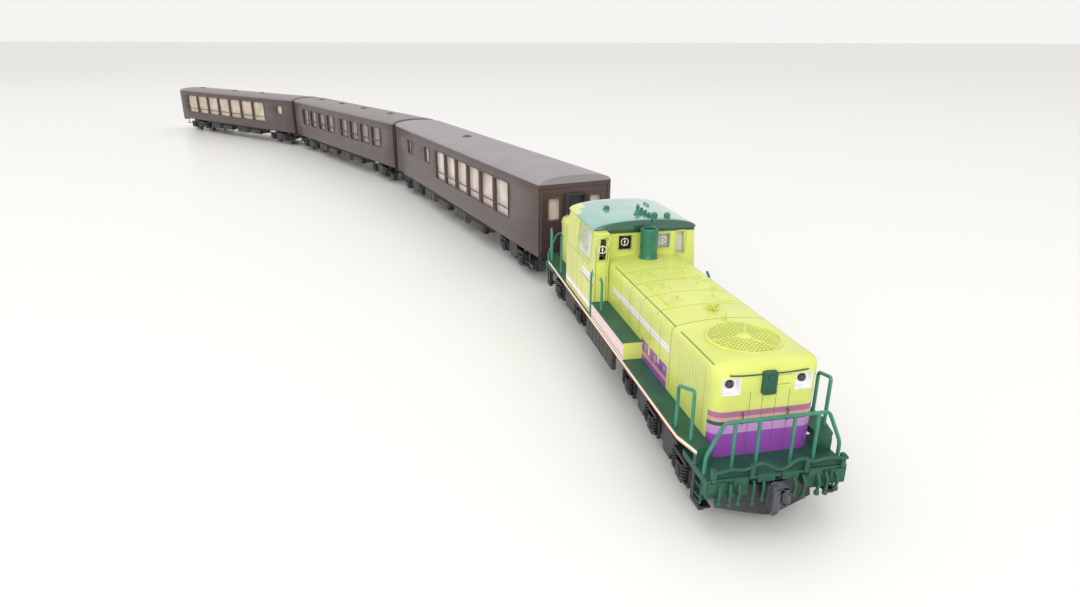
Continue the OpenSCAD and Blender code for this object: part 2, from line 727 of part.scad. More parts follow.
module coach_truck(i, s) color(black) in_truck(i, s) difference() {
  union() {
    pair(-coach_step - 2.6, coach_step + 2.6, 6.8, 7.9, 2.3, 5.2);
    slab(-3.1, 3.1, -7.9, 7.9, 4.7, 6.05);
  }
  translate([0, 0, 3]) cylinder(r = pivot_r + fit, h = 5);
  for (x = [-1, 1] * coach_step) bar_y(x, axle_z, coach_axle_r + fit, -journal - 0.05, journal + 0.05);
  for (x = [-1, 1] * 3.5) pair(x - 1.5, x + 1.5, 6, 9, 2, 3.2);
}

// Wheelsets 1 and 2 run in the front truck, 3 and 4 in the rear truck, from the front
module coach_wheelset(i, k) color(steel) in_truck(i, k < 3 ? 1 : -1)
  translate([k % 2 == 1 ? coach_step : -coach_step, 0, axle_z]) wheelset(coach_axle_r, journal);

// ---------------------------------------------------------------- nodes

loco_chassis();
running_boards();
long_hood();
short_hood();
cab_shell();
cab_roof();
cab_glazing();
exhaust_stack();
headlights();
handrails();
fuel_tank();
snow_ploughs();
motor_case();
motor_shaft();
flywheels();
worms();
front_truck_frame();
rear_truck_frame();
front_bull_gear();
rear_bull_gear();
front_wheelset(1);  // front_wheelset_1
front_wheelset(2);  // front_wheelset_2
front_wheelset(3);  // front_wheelset_3
rear_wheelset(1);  // rear_wheelset_1
rear_wheelset(2);  // rear_wheelset_2
front_coupler();
coupler_pair(1);  // coupler_pair_1
coupler_pair(2);  // coupler_pair_2
coupler_pair(3);  // coupler_pair_3
tail_coupler();
coach_body(1);  // coach_1_body
coach_roof(1);  // coach_1_roof
coach_glazing(1);  // coach_1_glazing
coach_floor(1);  // coach_1_floor
coach_body(2);  // coach_2_body
coach_roof(2);  // coach_2_roof
coach_glazing(2);  // coach_2_glazing
coach_floor(2);  // coach_2_floor
coach_body(3);  // coach_3_body
coach_roof(3);  // coach_3_roof
coach_glazing(3);  // coach_3_glazing
coach_floor(3);  // coach_3_floor
coach_truck(1, 1);  // coach_1_truck_a
coach_truck(1, -1);  // coach_1_truck_b
coach_truck(2, 1);  // coach_2_truck_a
coach_truck(2, -1);  // coach_2_truck_b
coach_truck(3, 1);  // coach_3_truck_a
coach_truck(3, -1);  // coach_3_truck_b
coach_wheelset(1, 1);  // coach_1_wheelset_1
coach_wheelset(1, 2);  // coach_1_wheelset_2
coach_wheelset(1, 3);  // coach_1_wheelset_3
coach_wheelset(1, 4);  // coach_1_wheelset_4
coach_wheelset(2, 1);  // coach_2_wheelset_1
coach_wheelset(2, 2);  // coach_2_wheelset_2
coach_wheelset(2, 3);  // coach_2_wheelset_3
coach_wheelset(2, 4);  // coach_2_wheelset_4
coach_wheelset(3, 1);  // coach_3_wheelset_1
coach_wheelset(3, 2);  // coach_3_wheelset_2
coach_wheelset(3, 3);  // coach_3_wheelset_3
coach_wheelset(3, 4);  // coach_3_wheelset_4
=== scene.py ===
import json
import bmesh
import bpy
import numpy as np
from mathutils import Matrix, Vector


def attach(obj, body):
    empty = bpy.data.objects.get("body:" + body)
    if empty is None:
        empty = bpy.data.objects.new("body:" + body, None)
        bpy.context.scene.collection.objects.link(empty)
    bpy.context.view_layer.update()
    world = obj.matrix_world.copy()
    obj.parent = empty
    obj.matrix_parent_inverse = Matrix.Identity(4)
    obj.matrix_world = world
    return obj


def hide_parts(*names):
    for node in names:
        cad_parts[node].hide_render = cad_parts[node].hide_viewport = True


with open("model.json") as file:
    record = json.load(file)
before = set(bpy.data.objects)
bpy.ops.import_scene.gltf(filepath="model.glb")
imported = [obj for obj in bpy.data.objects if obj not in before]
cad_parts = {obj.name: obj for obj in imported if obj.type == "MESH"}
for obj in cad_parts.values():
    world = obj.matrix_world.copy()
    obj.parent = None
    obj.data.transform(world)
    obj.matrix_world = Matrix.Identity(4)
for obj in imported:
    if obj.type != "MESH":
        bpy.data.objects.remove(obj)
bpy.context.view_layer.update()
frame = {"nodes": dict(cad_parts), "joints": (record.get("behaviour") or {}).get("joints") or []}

# ---------------------------------------------------------------- chassis and drive
# The ballast block of the locomotive is cast zinc. The motor is a drawn steel can on it, and its
# shaft turns two brass flywheels and two brass worms. They are all inside, so the CAD shapes stay.

MM = 0.001
GROOVE_DEPTH, INK_SHARE = 0.05, 0.8


def node(tree, kind, values={}, **props):
    """One shader node: its properties, then its inputs, each a value or a link."""
    n = tree.nodes.new(kind)
    for key, value in props.items():
        setattr(n, key, value)
    for key, value in values.items():
        if isinstance(value, bpy.types.NodeSocket):
            tree.links.new(value, n.inputs[key])
        else:
            n.inputs[key].default_value = value
    return n


def sums(tree, operation, *values, kind="ShaderNodeMath"):
    """One step of arithmetic on values or links."""
    return node(tree, kind, dict(enumerate(values)), operation=operation).outputs[0]


def laid_over(tree, share, under, colour):
    """A colour laid over what is under it, by a share from 0 to 1."""
    return node(tree, "ShaderNodeMix", {0: share, 6: under, 7: (*colour, 1)}, data_type="RGBA").outputs[2]


def inside(tree, at, box):
    """1 inside a box that is given by two ends for each of x, y and z, else 0: the largest of
    |at - middle| - half is below 0."""
    low, high = np.sort(np.array(box, float), axis=1).T
    vector = "ShaderNodeVectorMath"
    d = sums(tree, "ABSOLUTE", sums(tree, "SUBTRACT", at, tuple((low + high) / 2), kind=vector), kind=vector)
    d = sums(tree, "SUBTRACT", d, tuple((high - low) / 2), kind=vector)
    c = node(tree, "ShaderNodeSeparateXYZ", {0: d}).outputs
    return sums(tree, "LESS_THAN", sums(tree, "MAXIMUM", sums(tree, "MAXIMUM", c[0], c[1]), c[2]), 0.0)


def finish(name, colour, rough=0.4, metal=0.0, tone=0.1, patch=6.0, grain=0.12, relief=0.006,
           coat=0.0, clear=0.0, own=False, prints=(), cuts=(), ink=(0.05, 0.12, 0.06), stretch=(1, 1, 1)):
    """A finish in millimetres. The colour drifts by tone over patch mm, the roughness with it, and the
    surface is raised by relief mm with a grain of grain mm. prints are (colour, box) areas painted one
    over another, cuts are boxes where the surface is grooved and the ink of the panel lines lies."""
    m = bpy.data.materials.new(name)
    m.use_nodes = True
    t = m.node_tree
    skin = t.nodes["Principled BSDF"]
    if own:
        at = node(t, "ShaderNodeAttribute", attribute_name="spot").outputs["Vector"]
    else:
        at = node(t, "ShaderNodeTexCoord").outputs["Object"]
        at = node(t, "ShaderNodeVectorMath", {0: at, "Scale": 1 / MM}, operation="SCALE").outputs[0]
    along = node(t, "ShaderNodeVectorMath", {0: at, 1: stretch}, operation="MULTIPLY").outputs[0]
    drift = node(t, "ShaderNodeTexNoise", {"Vector": along, "Scale": 1 / patch,
                                           "Detail": 3.0}).outputs["Fac"]
    fine = node(t, "ShaderNodeTexNoise", {"Vector": along, "Scale": 1 / grain, "Detail": 4.0}).outputs["Fac"]
    base = np.array(colour, float)
    dark = (*np.clip(base * (1 - tone), 0, 1), 1)
    pale = np.clip(base * (1 + tone * 0.6), 0, 1)
    level = node(t, "ShaderNodeMapRange", {0: drift, 1: 0.3, 2: 0.7, 3: 0.0, 4: 1.0}).outputs[0]
    paint = laid_over(t, level, dark, pale)
    for tint, box in prints:
        paint = laid_over(t, inside(t, at, box), paint, tint)
    height = sums(t, "MULTIPLY", fine, relief)
    if cuts:
        groove = inside(t, at, cuts[0])
        for box in cuts[1:]:
            groove = sums(t, "MAXIMUM", groove, inside(t, at, box))
        paint = laid_over(t, sums(t, "MULTIPLY", groove, INK_SHARE), paint, ink)
        height = sums(t, "SUBTRACT", height, sums(t, "MULTIPLY", groove, GROOVE_DEPTH))
    bump = node(t, "ShaderNodeBump", {"Height": height, "Distance": MM, "Strength": 1.0}).outputs[0]
    shine = node(t, "ShaderNodeMapRange", {0: fine, 1: 0.2, 2: 0.8, 3: rough * 0.85, 4: min(1, rough * 1.2)})
    t.links.new(paint, skin.inputs["Base Color"])
    t.links.new(shine.outputs[0], skin.inputs["Roughness"])
    t.links.new(bump, skin.inputs["Normal"])
    skin.inputs["Metallic"].default_value = metal
    skin.inputs["Coat Weight"].default_value = coat
    skin.inputs["Transmission Weight"].default_value = clear
    return m


def coat_with(material, *names):
    """Gives a CAD node the finish in its own material slots."""
    for name in names:
        o = frame["nodes"][name]
        o.data.materials.clear()
        o.data.materials.append(material)


zinc = finish("cast_zinc", (0.13, 0.13, 0.135), rough=0.55, metal=0.6, tone=0.2, patch=3, grain=0.2,
              relief=0.02)
can_steel = finish("drawn_can_steel", (0.55, 0.55, 0.56), rough=0.3, metal=1, patch=4, grain=0.1,
                   stretch=(8, 1, 1))
brass = finish("cut_brass", (0.72, 0.52, 0.22), rough=0.3, metal=1, tone=0.12, patch=2, grain=0.08,
               relief=0.004)
coat_with(zinc, "loco_chassis")
coat_with(can_steel, "motor_case", "motor_shaft")
coat_with(brass, "flywheels", "worms", "front_bull_gear", "rear_bull_gear")

# ---------------------------------------------------------------- wheelsets
# Wheels are turned from steel and chemically blackened; the treads are polished by the rails.
# Each wheelset is one piece with its axle, so the CAD shapes stay.

wheel_steel = finish("blackened_wheel_steel", (0.16, 0.155, 0.15), rough=0.34, metal=1, tone=0.25, patch=1.2,
                     grain=0.06, relief=0.004)
coat_with(wheel_steel, *[n for n in frame["nodes"] if "wheelset" in n])

# ---------------------------------------------------------------- trucks
# Truck frames are moulded in black plastic. Coil springs, axle boxes, brake hangers and sand pipes
# stand on the outer faces of their side frames, and turn with the truck.

black = finish("moulded_black_plastic", (0.022, 0.022, 0.024), rough=0.45, tone=0.3, patch=2.5, grain=0.1,
               relief=0.008)
coat_with(black, "front_truck_frame", "rear_truck_frame",
          *["coach_%d_truck_%s" % (i, k) for i in (1, 2, 3) for k in "ab"])


def quads(n, m, close_n=False, close_m=False):
    """Faces of a grid of n by m points, closed on itself along n or along m where asked."""
    i = np.arange(n if close_n else n - 1)[:, None]
    j = np.arange(m if close_m else m - 1)[None, :]
    i2, j2 = (i + 1) % n, (j + 1) % m
    return np.stack([i * m + j, i2 * m + j, i2 * m + j2, i * m + j2], -1).reshape(-1, 4).tolist()


def loft(rings):
    """A closed skin through rings of points (k, n, 3), with a flat face over each end."""
    rings = np.asarray(rings, float)
    k, n = rings.shape[:2]
    ends = [list(range(n)), list(range((k - 1) * n, k * n))]
    return rings.reshape(-1, 3), quads(k, n, close_m=True) + ends


def block(x, y, z, r=0.12):
    """A block with softened edges: an octagon with corners cut by r, drawn in by r at both ends."""
    x, y, z = sorted(x), sorted(y), sorted(z)
    r = min(r, (x[1] - x[0]) / 2.5, (y[1] - y[0]) / 2.5, (z[1] - z[0]) / 2.5)
    mid, half = np.mean([x, y], axis=1), np.diff([x, y], axis=1)[:, 0] / 2
    sign = np.array([(1, 1), (1, 1), (-1, 1), (-1, 1), (-1, -1), (-1, -1), (1, -1), (1, -1)])
    cut = np.array([(0, 1), (1, 0), (1, 0), (0, 1), (0, 1), (1, 0), (1, 0), (0, 1)])
    flat = [mid + sign * (half - inset - cut * r) for inset in (r, 0, 0, r)]
    level = [z[0], z[0] + r, z[1] - r, z[1]]
    return loft([np.c_[f, np.full(8, h)] for f, h in zip(flat, level)])


def bend(path, r, steps=5):
    """A path whose corners are rounded: each corner gives way to a parabola that starts r before it."""
    p = np.array(path, float)
    t = np.linspace(0, 1, steps)[:, None]
    out = [p[:1]]
    for a, b, c in zip(p[:-2], p[1:-1], p[2:]):
        s = b + (a - b) * min(0.5, r / np.linalg.norm(a - b))
        e = b + (c - b) * min(0.5, r / np.linalg.norm(c - b))
        out.append((1 - t) ** 2 * s + 2 * t * (1 - t) * b + t ** 2 * e)
    return np.concatenate(out + [p[-1:]])


def tube(path, r, n=8):
    """A round bar: a circle of radius r square to the path at each of its points, closed at the ends."""
    p = np.array(path, float)
    t = np.gradient(p, axis=0)
    t /= np.linalg.norm(t, axis=1)[:, None]
    u = np.cross(t, (0.36, 0.48, 0.8))
    u /= np.linalg.norm(u, axis=1)[:, None]
    w = np.cross(t, u)
    a = np.arange(n) * 2 * np.pi / n
    ring = np.cos(a)[None, :, None] * u[:, None] + np.sin(a)[None, :, None] * w[:, None]
    return loft(p[:, None] + ring * np.reshape(r, (-1, 1, 1)))


def turned(profile, at, axis=2, n=24):
    """A turned shape: each (radius, height) of the profile goes round the axis (0 x, 1 y, 2 z)."""
    p = np.array(profile, float)
    a = np.arange(n) * 2 * np.pi / n
    ring = np.stack([p[:, :1] * np.cos(a), p[:, :1] * np.sin(a), np.repeat(p[:, 1:], n, axis=1)], -1)
    turn = {0: [2, 0, 1], 1: [1, 2, 0], 2: [0, 1, 2]}[axis]
    return loft(ring[:, :, turn] + np.array(at, float))


def turned_ring(profile, at, n=24):
    """A turned ring about +Z: the closed profile goes round, and there is no face over the middle."""
    return turned(profile, at, 2, n)[0], quads(len(profile), n, close_n=True, close_m=True)


def piece(name, parts, stuff, body, stands_for=(), move=None, wall=0.0, soft=0.0, shade=35):
    """One object from parts, each (points, faces) in millimetres of its own vehicle. move takes the
    points to their place in the train, wall thickens an open skin inwards, soft rounds its edges."""
    count = np.cumsum([0] + [len(p) for p, f in parts])
    points = np.concatenate([p for p, f in parts])
    faces = [[i + k for i in f] for k, (p, fs) in zip(count, parts) for f in fs]
    mesh = bpy.data.meshes.new(name)
    mesh.from_pydata(((move(points) if move else points) * MM).tolist(), [], faces)
    spot = mesh.attributes.new("spot", "FLOAT_VECTOR", "POINT")
    spot.data.foreach_set("vector", points.astype(np.float32).ravel())
    b = bmesh.new()
    b.from_mesh(mesh)
    bmesh.ops.remove_doubles(b, verts=b.verts, dist=1e-6)
    bmesh.ops.recalc_face_normals(b, faces=b.faces)
    b.to_mesh(mesh)
    b.free()
    o = bpy.data.objects.new(name, mesh)
    bpy.context.collection.objects.link(o)
    if wall:
        o.modifiers.new("wall", "SOLIDIFY").thickness = wall * MM
        o.modifiers["wall"].offset = -1
    if soft:
        edge = o.modifiers.new("soft", "BEVEL")
        edge.width, edge.segments, edge.angle_limit = soft * MM, 2, 0.7
    if wall or soft:
        made = bpy.data.meshes.new_from_object(o.evaluated_get(bpy.context.evaluated_depsgraph_get()))
        o.modifiers.clear()
        o.data = made
    o.data.shade_smooth()
    o.data.set_sharp_from_angle(angle=np.radians(shade))
    o.data.materials.clear()
    for s in stuff if isinstance(stuff, (list, tuple)) else [stuff]:
        o.data.materials.append(s)
    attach(o, body)
    if stands_for:
        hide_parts(*stands_for)
    return o


def joint(value, key="name"):
    """The frame's joint of this name, or the one whose child is this body."""
    return next(j for j in frame["joints"] if j[key] == value)


def place(pivot, axle):
    """Takes points of a truck to the train: turned about +Z until +Y lies along its axle, then moved
    to its pivot."""
    at, along = joint(pivot)["pos_m"], joint(axle, "child")["axis"]
    turn = np.arctan2(-along[0], along[1])
    c, s = np.cos(turn), np.sin(turn)
    spin = np.array([(c, s, 0), (-s, c, 0), (0, 0, 1)])
    return lambda p: p @ spin + np.array([at[0] / MM, at[1] / MM, 0])


def coil(at, r, height, turns=5, wire=0.13):
    """A coil spring: a wire along a helix of radius r that climbs its height in so many turns."""
    a = np.linspace(0, turns * 2 * np.pi, turns * 12)
    return tube(np.c_[at[0] + r * np.cos(a), at[1] + r * np.sin(a), at[2] + a / a[-1] * height], wire, 5)


def side_fittings(axles, face, end, axle_z=3.4):
    """What stands on both side frames: an axle box with its cap at every axle, a coil spring on each
    side of it, a brake hanger beside it, and a sand pipe at both ends."""
    out = []
    for s in (-1, 1):
        y = (s * face, s * (face + 0.55))
        cap = [(0.75, 0), (0.75, 0.15), (0.4, 0.3)]
        cap = cap if s > 0 else [(r, -h) for r, h in cap[::-1]]
        for x in axles:
            out.append(block((x - 1.15, x + 1.15), y, (axle_z - 1.3, axle_z + 1.2), 0.3))
            out.append(turned(cap, (x, s * (face + 0.5), axle_z), 1, 16))
            out += [coil((x + d, s * (face + 0.25), axle_z - 0.3), 0.42, 2.2) for d in (-1.75, 1.75)]
            out.append(block((x - 2.3, x + 2.3), y, (axle_z - 0.75, axle_z - 0.35), 0.1))
            out.append(block((x - 2.3, x + 2.3), y, (axle_z + 1.9, axle_z + 2.4), 0.1))
            hanger = [(x + 3.1, s * (face + 0.2), 5.4), (x + 3.2, s * (face + 0.2), 3.6),
                      (x + 2.9, s * (face - 0.6), 2.6)]
            out.append(tube(bend(hanger, 0.6), 0.16, 6))
        for e in (-1, 1):
            pipe = [(e * (end - 0.4), s * (face - 0.2), 5.6), (e * (end + 0.1), s * (face - 0.4), 3.2),
                    (e * (end - 0.5), s * (face - 1.6), 1.4)]
            out.append(tube(bend(pipe, 0.9), 0.17, 6))
    return out


for end, axles, half_length in (("front", (-11.8, 0, 11.8), 14.2), ("rear", (-7.3, 7.3), 9.7)):
    truck = end + "_truck"
    piece(truck + "_fittings", side_fittings(axles, 7.3, half_length), black, truck,
          move=place(truck + "_yaw", end + "_axle_1"))

# ---------------------------------------------------------------- walkways and end beams
# The walkways are one moulding in dark green plastic with a chequered tread. Their outer edges and
# the raised box are painted in the livery. Ladders, hoses and valves are moulded on the end beams.

RAIL = 0.55
cream, red, pink, white = (0.86, 0.84, 0.62), (0.72, 0.12, 0.12), (0.90, 0.50, 0.52), (0.90, 0.90, 0.88)
lime, magenta, salmon = (0.62, 0.68, 0.15), (0.38, 0.13, 0.26), (0.58, 0.33, 0.27)
violet, lilac, sky = (0.29, 0.07, 0.42), (0.52, 0.27, 0.56), (0.40, 0.62, 0.78)
green, deep_green = (0.015, 0.16, 0.09), (0.012, 0.085, 0.05)
dull_white, dark = (0.78, 0.74, 0.74), (0.02, 0.02, 0.02)
deck_z, apron_z = 10.15, 7.85
sides = [(-9.9, -9.68), (9.68, 9.9)]
long_edge, box_x = (-36.5, 36.5), (-2.1, 15.4)
edge_paint = [(c, (long_edge, y, z)) for c, z in ((cream, (9.2, 9.85)), (red, (9.2, 9.42))) for y in sides]
for s in (1, -1):
    for t in (1, -1):
        x, y = (s * 36.5, s * 40.3), (t * 8.75, t * 9.9)
        edge_paint += [(cream, (x, y, (9.28, 9.85))), (salmon, (x, y, (9.28, 9.5))),
                       (dark, ((s * 36.5, s * 42.3), (t * 7.85, t * 9.9), (2.5, 6.9)))]
for y in sides:
    edge_paint += [(dull_white, (box_x, y, (10.0, 12.5))), (pink, (box_x, y, (11.8, 12.2))),
                   (pink, (box_x, y, (11.0, 11.4))), (salmon, (box_x, y, (10.3, 10.7)))]
edge_paint.append((lime, ((15.4, 15.6), (-10, 10), (10.16, 12.8))))
deck = finish("deck_green", deep_green, rough=0.5, tone=0.25, patch=3, grain=0.25, relief=0.03,
              prints=edge_paint)
coat_with(deck, "running_boards")
rail_green = finish("rail_green", green, rough=0.38, tone=0.2, patch=2.0, grain=0.1, relief=0.008, coat=0.2)
beam_green = finish("beam_green", deep_green, rough=0.45, tone=0.2, patch=2.0, grain=0.1, relief=0.01)


def flipped(parts, axis=0):
    """The mirror image of the parts across the vehicle's middle: axis 0 end for end, 1 side for side."""
    flip = np.ones(3)
    flip[axis] = -1
    return [(p * flip, [f[::-1] for f in fs]) for p, fs in parts]


ladder = []
for z in (4.2, 5.7):
    ladder.append(block((39.6, 41.9), (8.0, 8.75), (z, z + 0.25), 0.08))
ladder += [tube(bend([(41.8, 8.6, 7.6), (41.8, 8.6, 3.5), (39.7, 8.6, 3.5), (39.7, 8.6, 7.2)], 0.4), 0.16,
                6)]
hoses = []
for y, drop in ((1.9, 5.2), (3.1, 4.8), (4.9, 5.0), (6.0, 4.9), (7.3, 5.3)):
    hoses.append(tube(bend([(43.2, y, 7.1), (43.75, y, 7.4), (44.15, y + 0.15, 6.4),
                            (43.95, y + 0.1, drop)], 0.5), 0.2, 8))
    hoses.append(turned([(0.3, 0), (0.34, 0.35), (0.2, 0.5)], (43.95, y + 0.1, drop - 0.45), 2, 10))
beam_bits = [block((43.3, 43.75), (y0, y1), (z0, z1), 0.1) for y0, y1, z0, z1 in
             ((6.6, 8.7, 6.2, 7.6), (3.8, 5.6, 6.9, 7.9), (0.4, 2.6, 7.0, 8.1), (5.0, 6.4, 5.3, 6.1))]
end_parts = ladder + hoses + beam_bits
end_parts += flipped(end_parts, 1)
lever_y = np.linspace(-8.4, 8.4, 60)
lever_z = 9.15 - 0.45 * np.cos(lever_y * 1.35) * np.exp(-(lever_y / 5.5) ** 4)
end_parts.append(tube(np.c_[43.75 + 0.25 * np.cos(lever_y * 0.7), lever_y, lever_z], 0.2, 8))
end_parts += [block((43.2, 43.9), (y - 0.3, y + 0.3), (7.7, 9.5), 0.1) for y in (-8.1, -3.4, 3.4, 8.1)]
end_parts.append(block((43.3, 43.6), (-8.75, 8.75), (7.55, 7.95), 0.1))
piece("front_beam_fittings", end_parts, beam_green, "locomotive")
piece("rear_beam_fittings", flipped(end_parts), beam_green, "locomotive")

# ---------------------------------------------------------------- hoods
# Both hoods are thin shells moulded in plastic and painted lime, with the livery printed on. The
# panel lines are grooves with dark ink in them. They clip over the chassis in front of and behind the cab.

hood_y, corner, nose_r, side_top = 6.85, 0.85, 1.75, 18.8
cab_front_x, nose_x, cab_rear_x, short_x, well_x = -4.5, 39.1, -21.0, -37.8, 36.5
lamp_y, lamp_z = 4.6, 17.05
lamp_y0, lamp_y1, lamp_z0, lamp_z1 = lamp_y - 1.15, lamp_y + 1.15, lamp_z - 1.1, lamp_z + 1.1


def crown(y):
    """Height of the hood's top: 20.2 in the middle, falling with the square of y to the shoulders."""
    return 20.2 - 0.55 * (y / (hood_y - corner)) ** 2


def bow(y, z):
    """How far the face lies behind its middle: the sagitta of a circle of radius nose_r, from nose_r
    inside the outline outwards."""
    edge = np.minimum(hood_y - np.abs(y), crown(y) - z)
    return nose_r - np.sqrt(nose_r ** 2 - np.clip(nose_r - edge, 0, nose_r) ** 2)


def hood_shell(back, nose):
    """A hood from x = back to its face at x = nose. Sections of side walls, rounded shoulders and the
    crowned top are carried along x and drawn in round the face's edges; the face is a grid of its own."""
    edge = hood_y - corner
    rows = np.array([apron_z, deck_z, 12.0, lamp_z0, lamp_z1, side_top])
    cols = np.unique(np.r_[np.linspace(-edge, edge, 13), -5.3, -lamp_y1, -lamp_y0, lamp_y0, lamp_y1, 5.3])
    turn = np.radians([22.5, 45, 67.5])
    lift = np.linspace(0, np.pi / 2, 6)
    inset = corner * (1 - np.cos(lift))
    x = np.r_[np.linspace(back, well_x if nose > well_x else nose - 3, 8),
              nose - nose_r + np.sqrt(nose_r ** 2 - (nose_r - inset) ** 2)]
    inset = np.r_[np.zeros(8), inset][:, None]
    one = np.ones_like(inset)
    r = corner - inset
    y = np.c_[-(hood_y - inset) * np.ones((1, 6)), -edge - r * np.cos(turn), one * cols,
              (edge + r * np.cos(turn))[:, ::-1], (hood_y - inset) * np.ones((1, 6))]
    z = np.c_[one * rows, side_top + r * np.sin(turn), crown(cols) - inset,
              (side_top + r * np.sin(turn))[:, ::-1], one * rows[::-1]]
    points = np.stack([x[:, None] + 0 * y, y, z], -1)
    faces = np.array(quads(*y.shape))
    middle = points.reshape(-1, 3)[faces].mean(1)
    faces = faces[~((middle[:, 0] < well_x) & (middle[:, 2] < deck_z))]
    heights = np.r_[rows[:-1][:, None] * np.ones((1, len(cols))), [crown(cols) - corner]]
    face = np.stack([nose - bow(cols + 0 * heights, heights), cols + 0 * heights, heights], -1)
    tiles = np.array(quads(*heights.shape))
    middle = face.reshape(-1, 3)[tiles].mean(1)
    across, up = abs(middle[:, 1]), middle[:, 2]
    lamp = (across > lamp_y0) & (across < lamp_y1) & (up > lamp_z0) & (up < lamp_z1)
    return [(points.reshape(-1, 3), faces.tolist()), (face.reshape(-1, 3), tiles[~lamp].tolist())]


big = (-99, 99)
bands = [(magenta, 13.12, 13.87), (salmon, 12.6, 13.12), (deep_green, 12.1, 12.6), (lilac, 10.95, 12.1),
         (violet, 7, 10.95)]
nose_paint = [(c, (x, big, (z0, z1))) for c, z0, z1 in bands for x in ((37.9, 40), (-39, -36.6))]
side_paint = []
for c, z0, z1 in ((white, 16.1, 16.35), (sky, 15.85, 16.1), (white, 15.6, 15.85), (pink, 15.3, 15.6)):
    side_paint.append((c, ((0.4, 25.4), big, (z0, z1))))
side_paint += [(violet, ((15, 25.2), big, (11.6, 13.35))), (salmon, ((15, 25.2), big, (11.0, 11.6))),
               (violet, ((15, 25.2), big, (10.1, 11.0)))]
for k in range(8):
    along, up = (15.6 + 1.2 * k, 16.2 + 1.2 * k), (11.9 + 0.5 * (k % 2), 12.6 + 0.35 * (k % 3))
    side_paint.append(((deep_green, salmon, lime)[k % 3], (along, big, up)))
top = (18.95, 21)
seam = 0.055
cuts = [((x - seam, x + seam), big, top) for x in (4.0, 9.5, 15.0, 20.5)]
cuts += [((25.95, 26.1), big, (11, 21)), ((36.75, 36.82), big, (8, 18.9)),
         ((0.0, 26.3), (-6.45, -6.3), (18.8, 19.6)), ((27.8, 37.8), (-6.45, -6.3), (18.8, 19.6)),
         ((0.0, 26.3), (6.3, 6.45), (18.8, 19.6)), ((27.8, 37.8), (6.3, 6.45), (18.8, 19.6))]
cuts += [((39, 40), (y - 0.035, y + 0.035), (7, 16.2)) for y in (-2.1, -0.5, 1.2, 2.9)]
cuts += [((39, 40), (1.1, 2.9), (z - 0.03, z + 0.03)) for z in (16.9, 18.1)]
cuts += [((x - seam, x + seam), big, (13.5, 18.3)) for x in (4.6, 9.2, 13.8, 18.4, 22.2)]
cuts += [((x - 0.03, x + 0.03), big, (12.8, 17.2)) for x in np.arange(29.2, 35.4, 0.8)]
lime_paint = finish("lime_paint", lime, rough=0.34, tone=0.07, patch=7, grain=0.09, relief=0.006, coat=0.25,
                    prints=side_paint + nose_paint, cuts=cuts, ink=(0.04, 0.13, 0.04))
piece("long_hood_shell", hood_shell(cab_front_x, nose_x), lime_paint, "locomotive",
      ("long_hood",), wall=0.7)
piece("short_hood_shell", flipped(hood_shell(-cab_rear_x, -short_x)), lime_paint, "locomotive",
      ("short_hood",), wall=0.7)

# ---------------------------------------------------------------- hood fittings
# Hatches, hinges, handles, the radiator louvres and the fan's grille are moulded with the hood and
# painted with it. The grille is a ring with two layers of fine bars over the fan.

plain_lime = finish("lime_paint_plain", lime, rough=0.34, tone=0.1, patch=4, grain=0.09, relief=0.008,
                    coat=0.25)
fittings = []
for x0 in (5.0, 10.5, 16.0):
    for y0, y1 in ((-4.9, -0.5), (0.5, 4.9)):
        mid = crown((y0 + y1) / 2)
        fittings.append(block((x0, x0 + 3.6), (y0, y1), (mid - 0.3, mid + 0.04), 0.03))
        fittings += [turned([(0.16, 0), (0.16, 0.12), (0.08, 0.2)], (x0 + d, y, mid + 0.05), 2, 10)
                     for d in (0.5, 3.1) for y in (y0 + 0.5, y1 - 0.5)]
        fittings.append(tube(bend([(x0 + 1.3, (y0 + y1) / 2, mid), (x0 + 1.3, (y0 + y1) / 2, mid + 0.35),
                                   (x0 + 2.3, (y0 + y1) / 2, mid + 0.35), (x0 + 2.3, (y0 + y1) / 2, mid)],
                                  0.15), 0.07, 6))
for s in (-1, 1):
    for x in (5.9, 10.5, 15.1, 19.6, 23.2):
        fittings += [block((x - 0.3, x + 0.3), (s * 6.8, s * 6.93), (z, z + 0.3), 0.04)
                     for z in (14.2, 17.4)]
horn = (22.0, 0.2)
fittings.append(block((horn[0] - 0.9, horn[0] + 0.9), (horn[1] - 0.7, horn[1] + 0.7), (20.0, 20.35), 0.1))
for dy, length in ((-0.5, 1.1), (0.15, 1.5), (0.6, 0.9)):
    fittings.append(turned([(0.16, 0), (0.2, length * 0.5), (0.42, length), (0.3, length + 0.02),
                            (0.1, length * 0.7)], (horn[0], horn[1] + dy, 20.7), 0, 12))
    fittings.append(tube([(horn[0] + 0.2, horn[1] + dy, 20.3), (horn[0] + 0.2, horn[1] + dy, 20.75)], 0.12,
                         6))
fittings.append(tube(bend([(26.9, -0.1, 20.0), (26.9, -0.1, 21.1), (26.5, 0.3, 21.2), (26.5, 0.3, 20.0)],
                          0.3), 0.16, 8))
fittings.append(block((26.2, 27.2), (-0.5, 0.7), (20.0, 20.25), 0.08))
piece("hood_fittings", fittings, plain_lime, "locomotive")

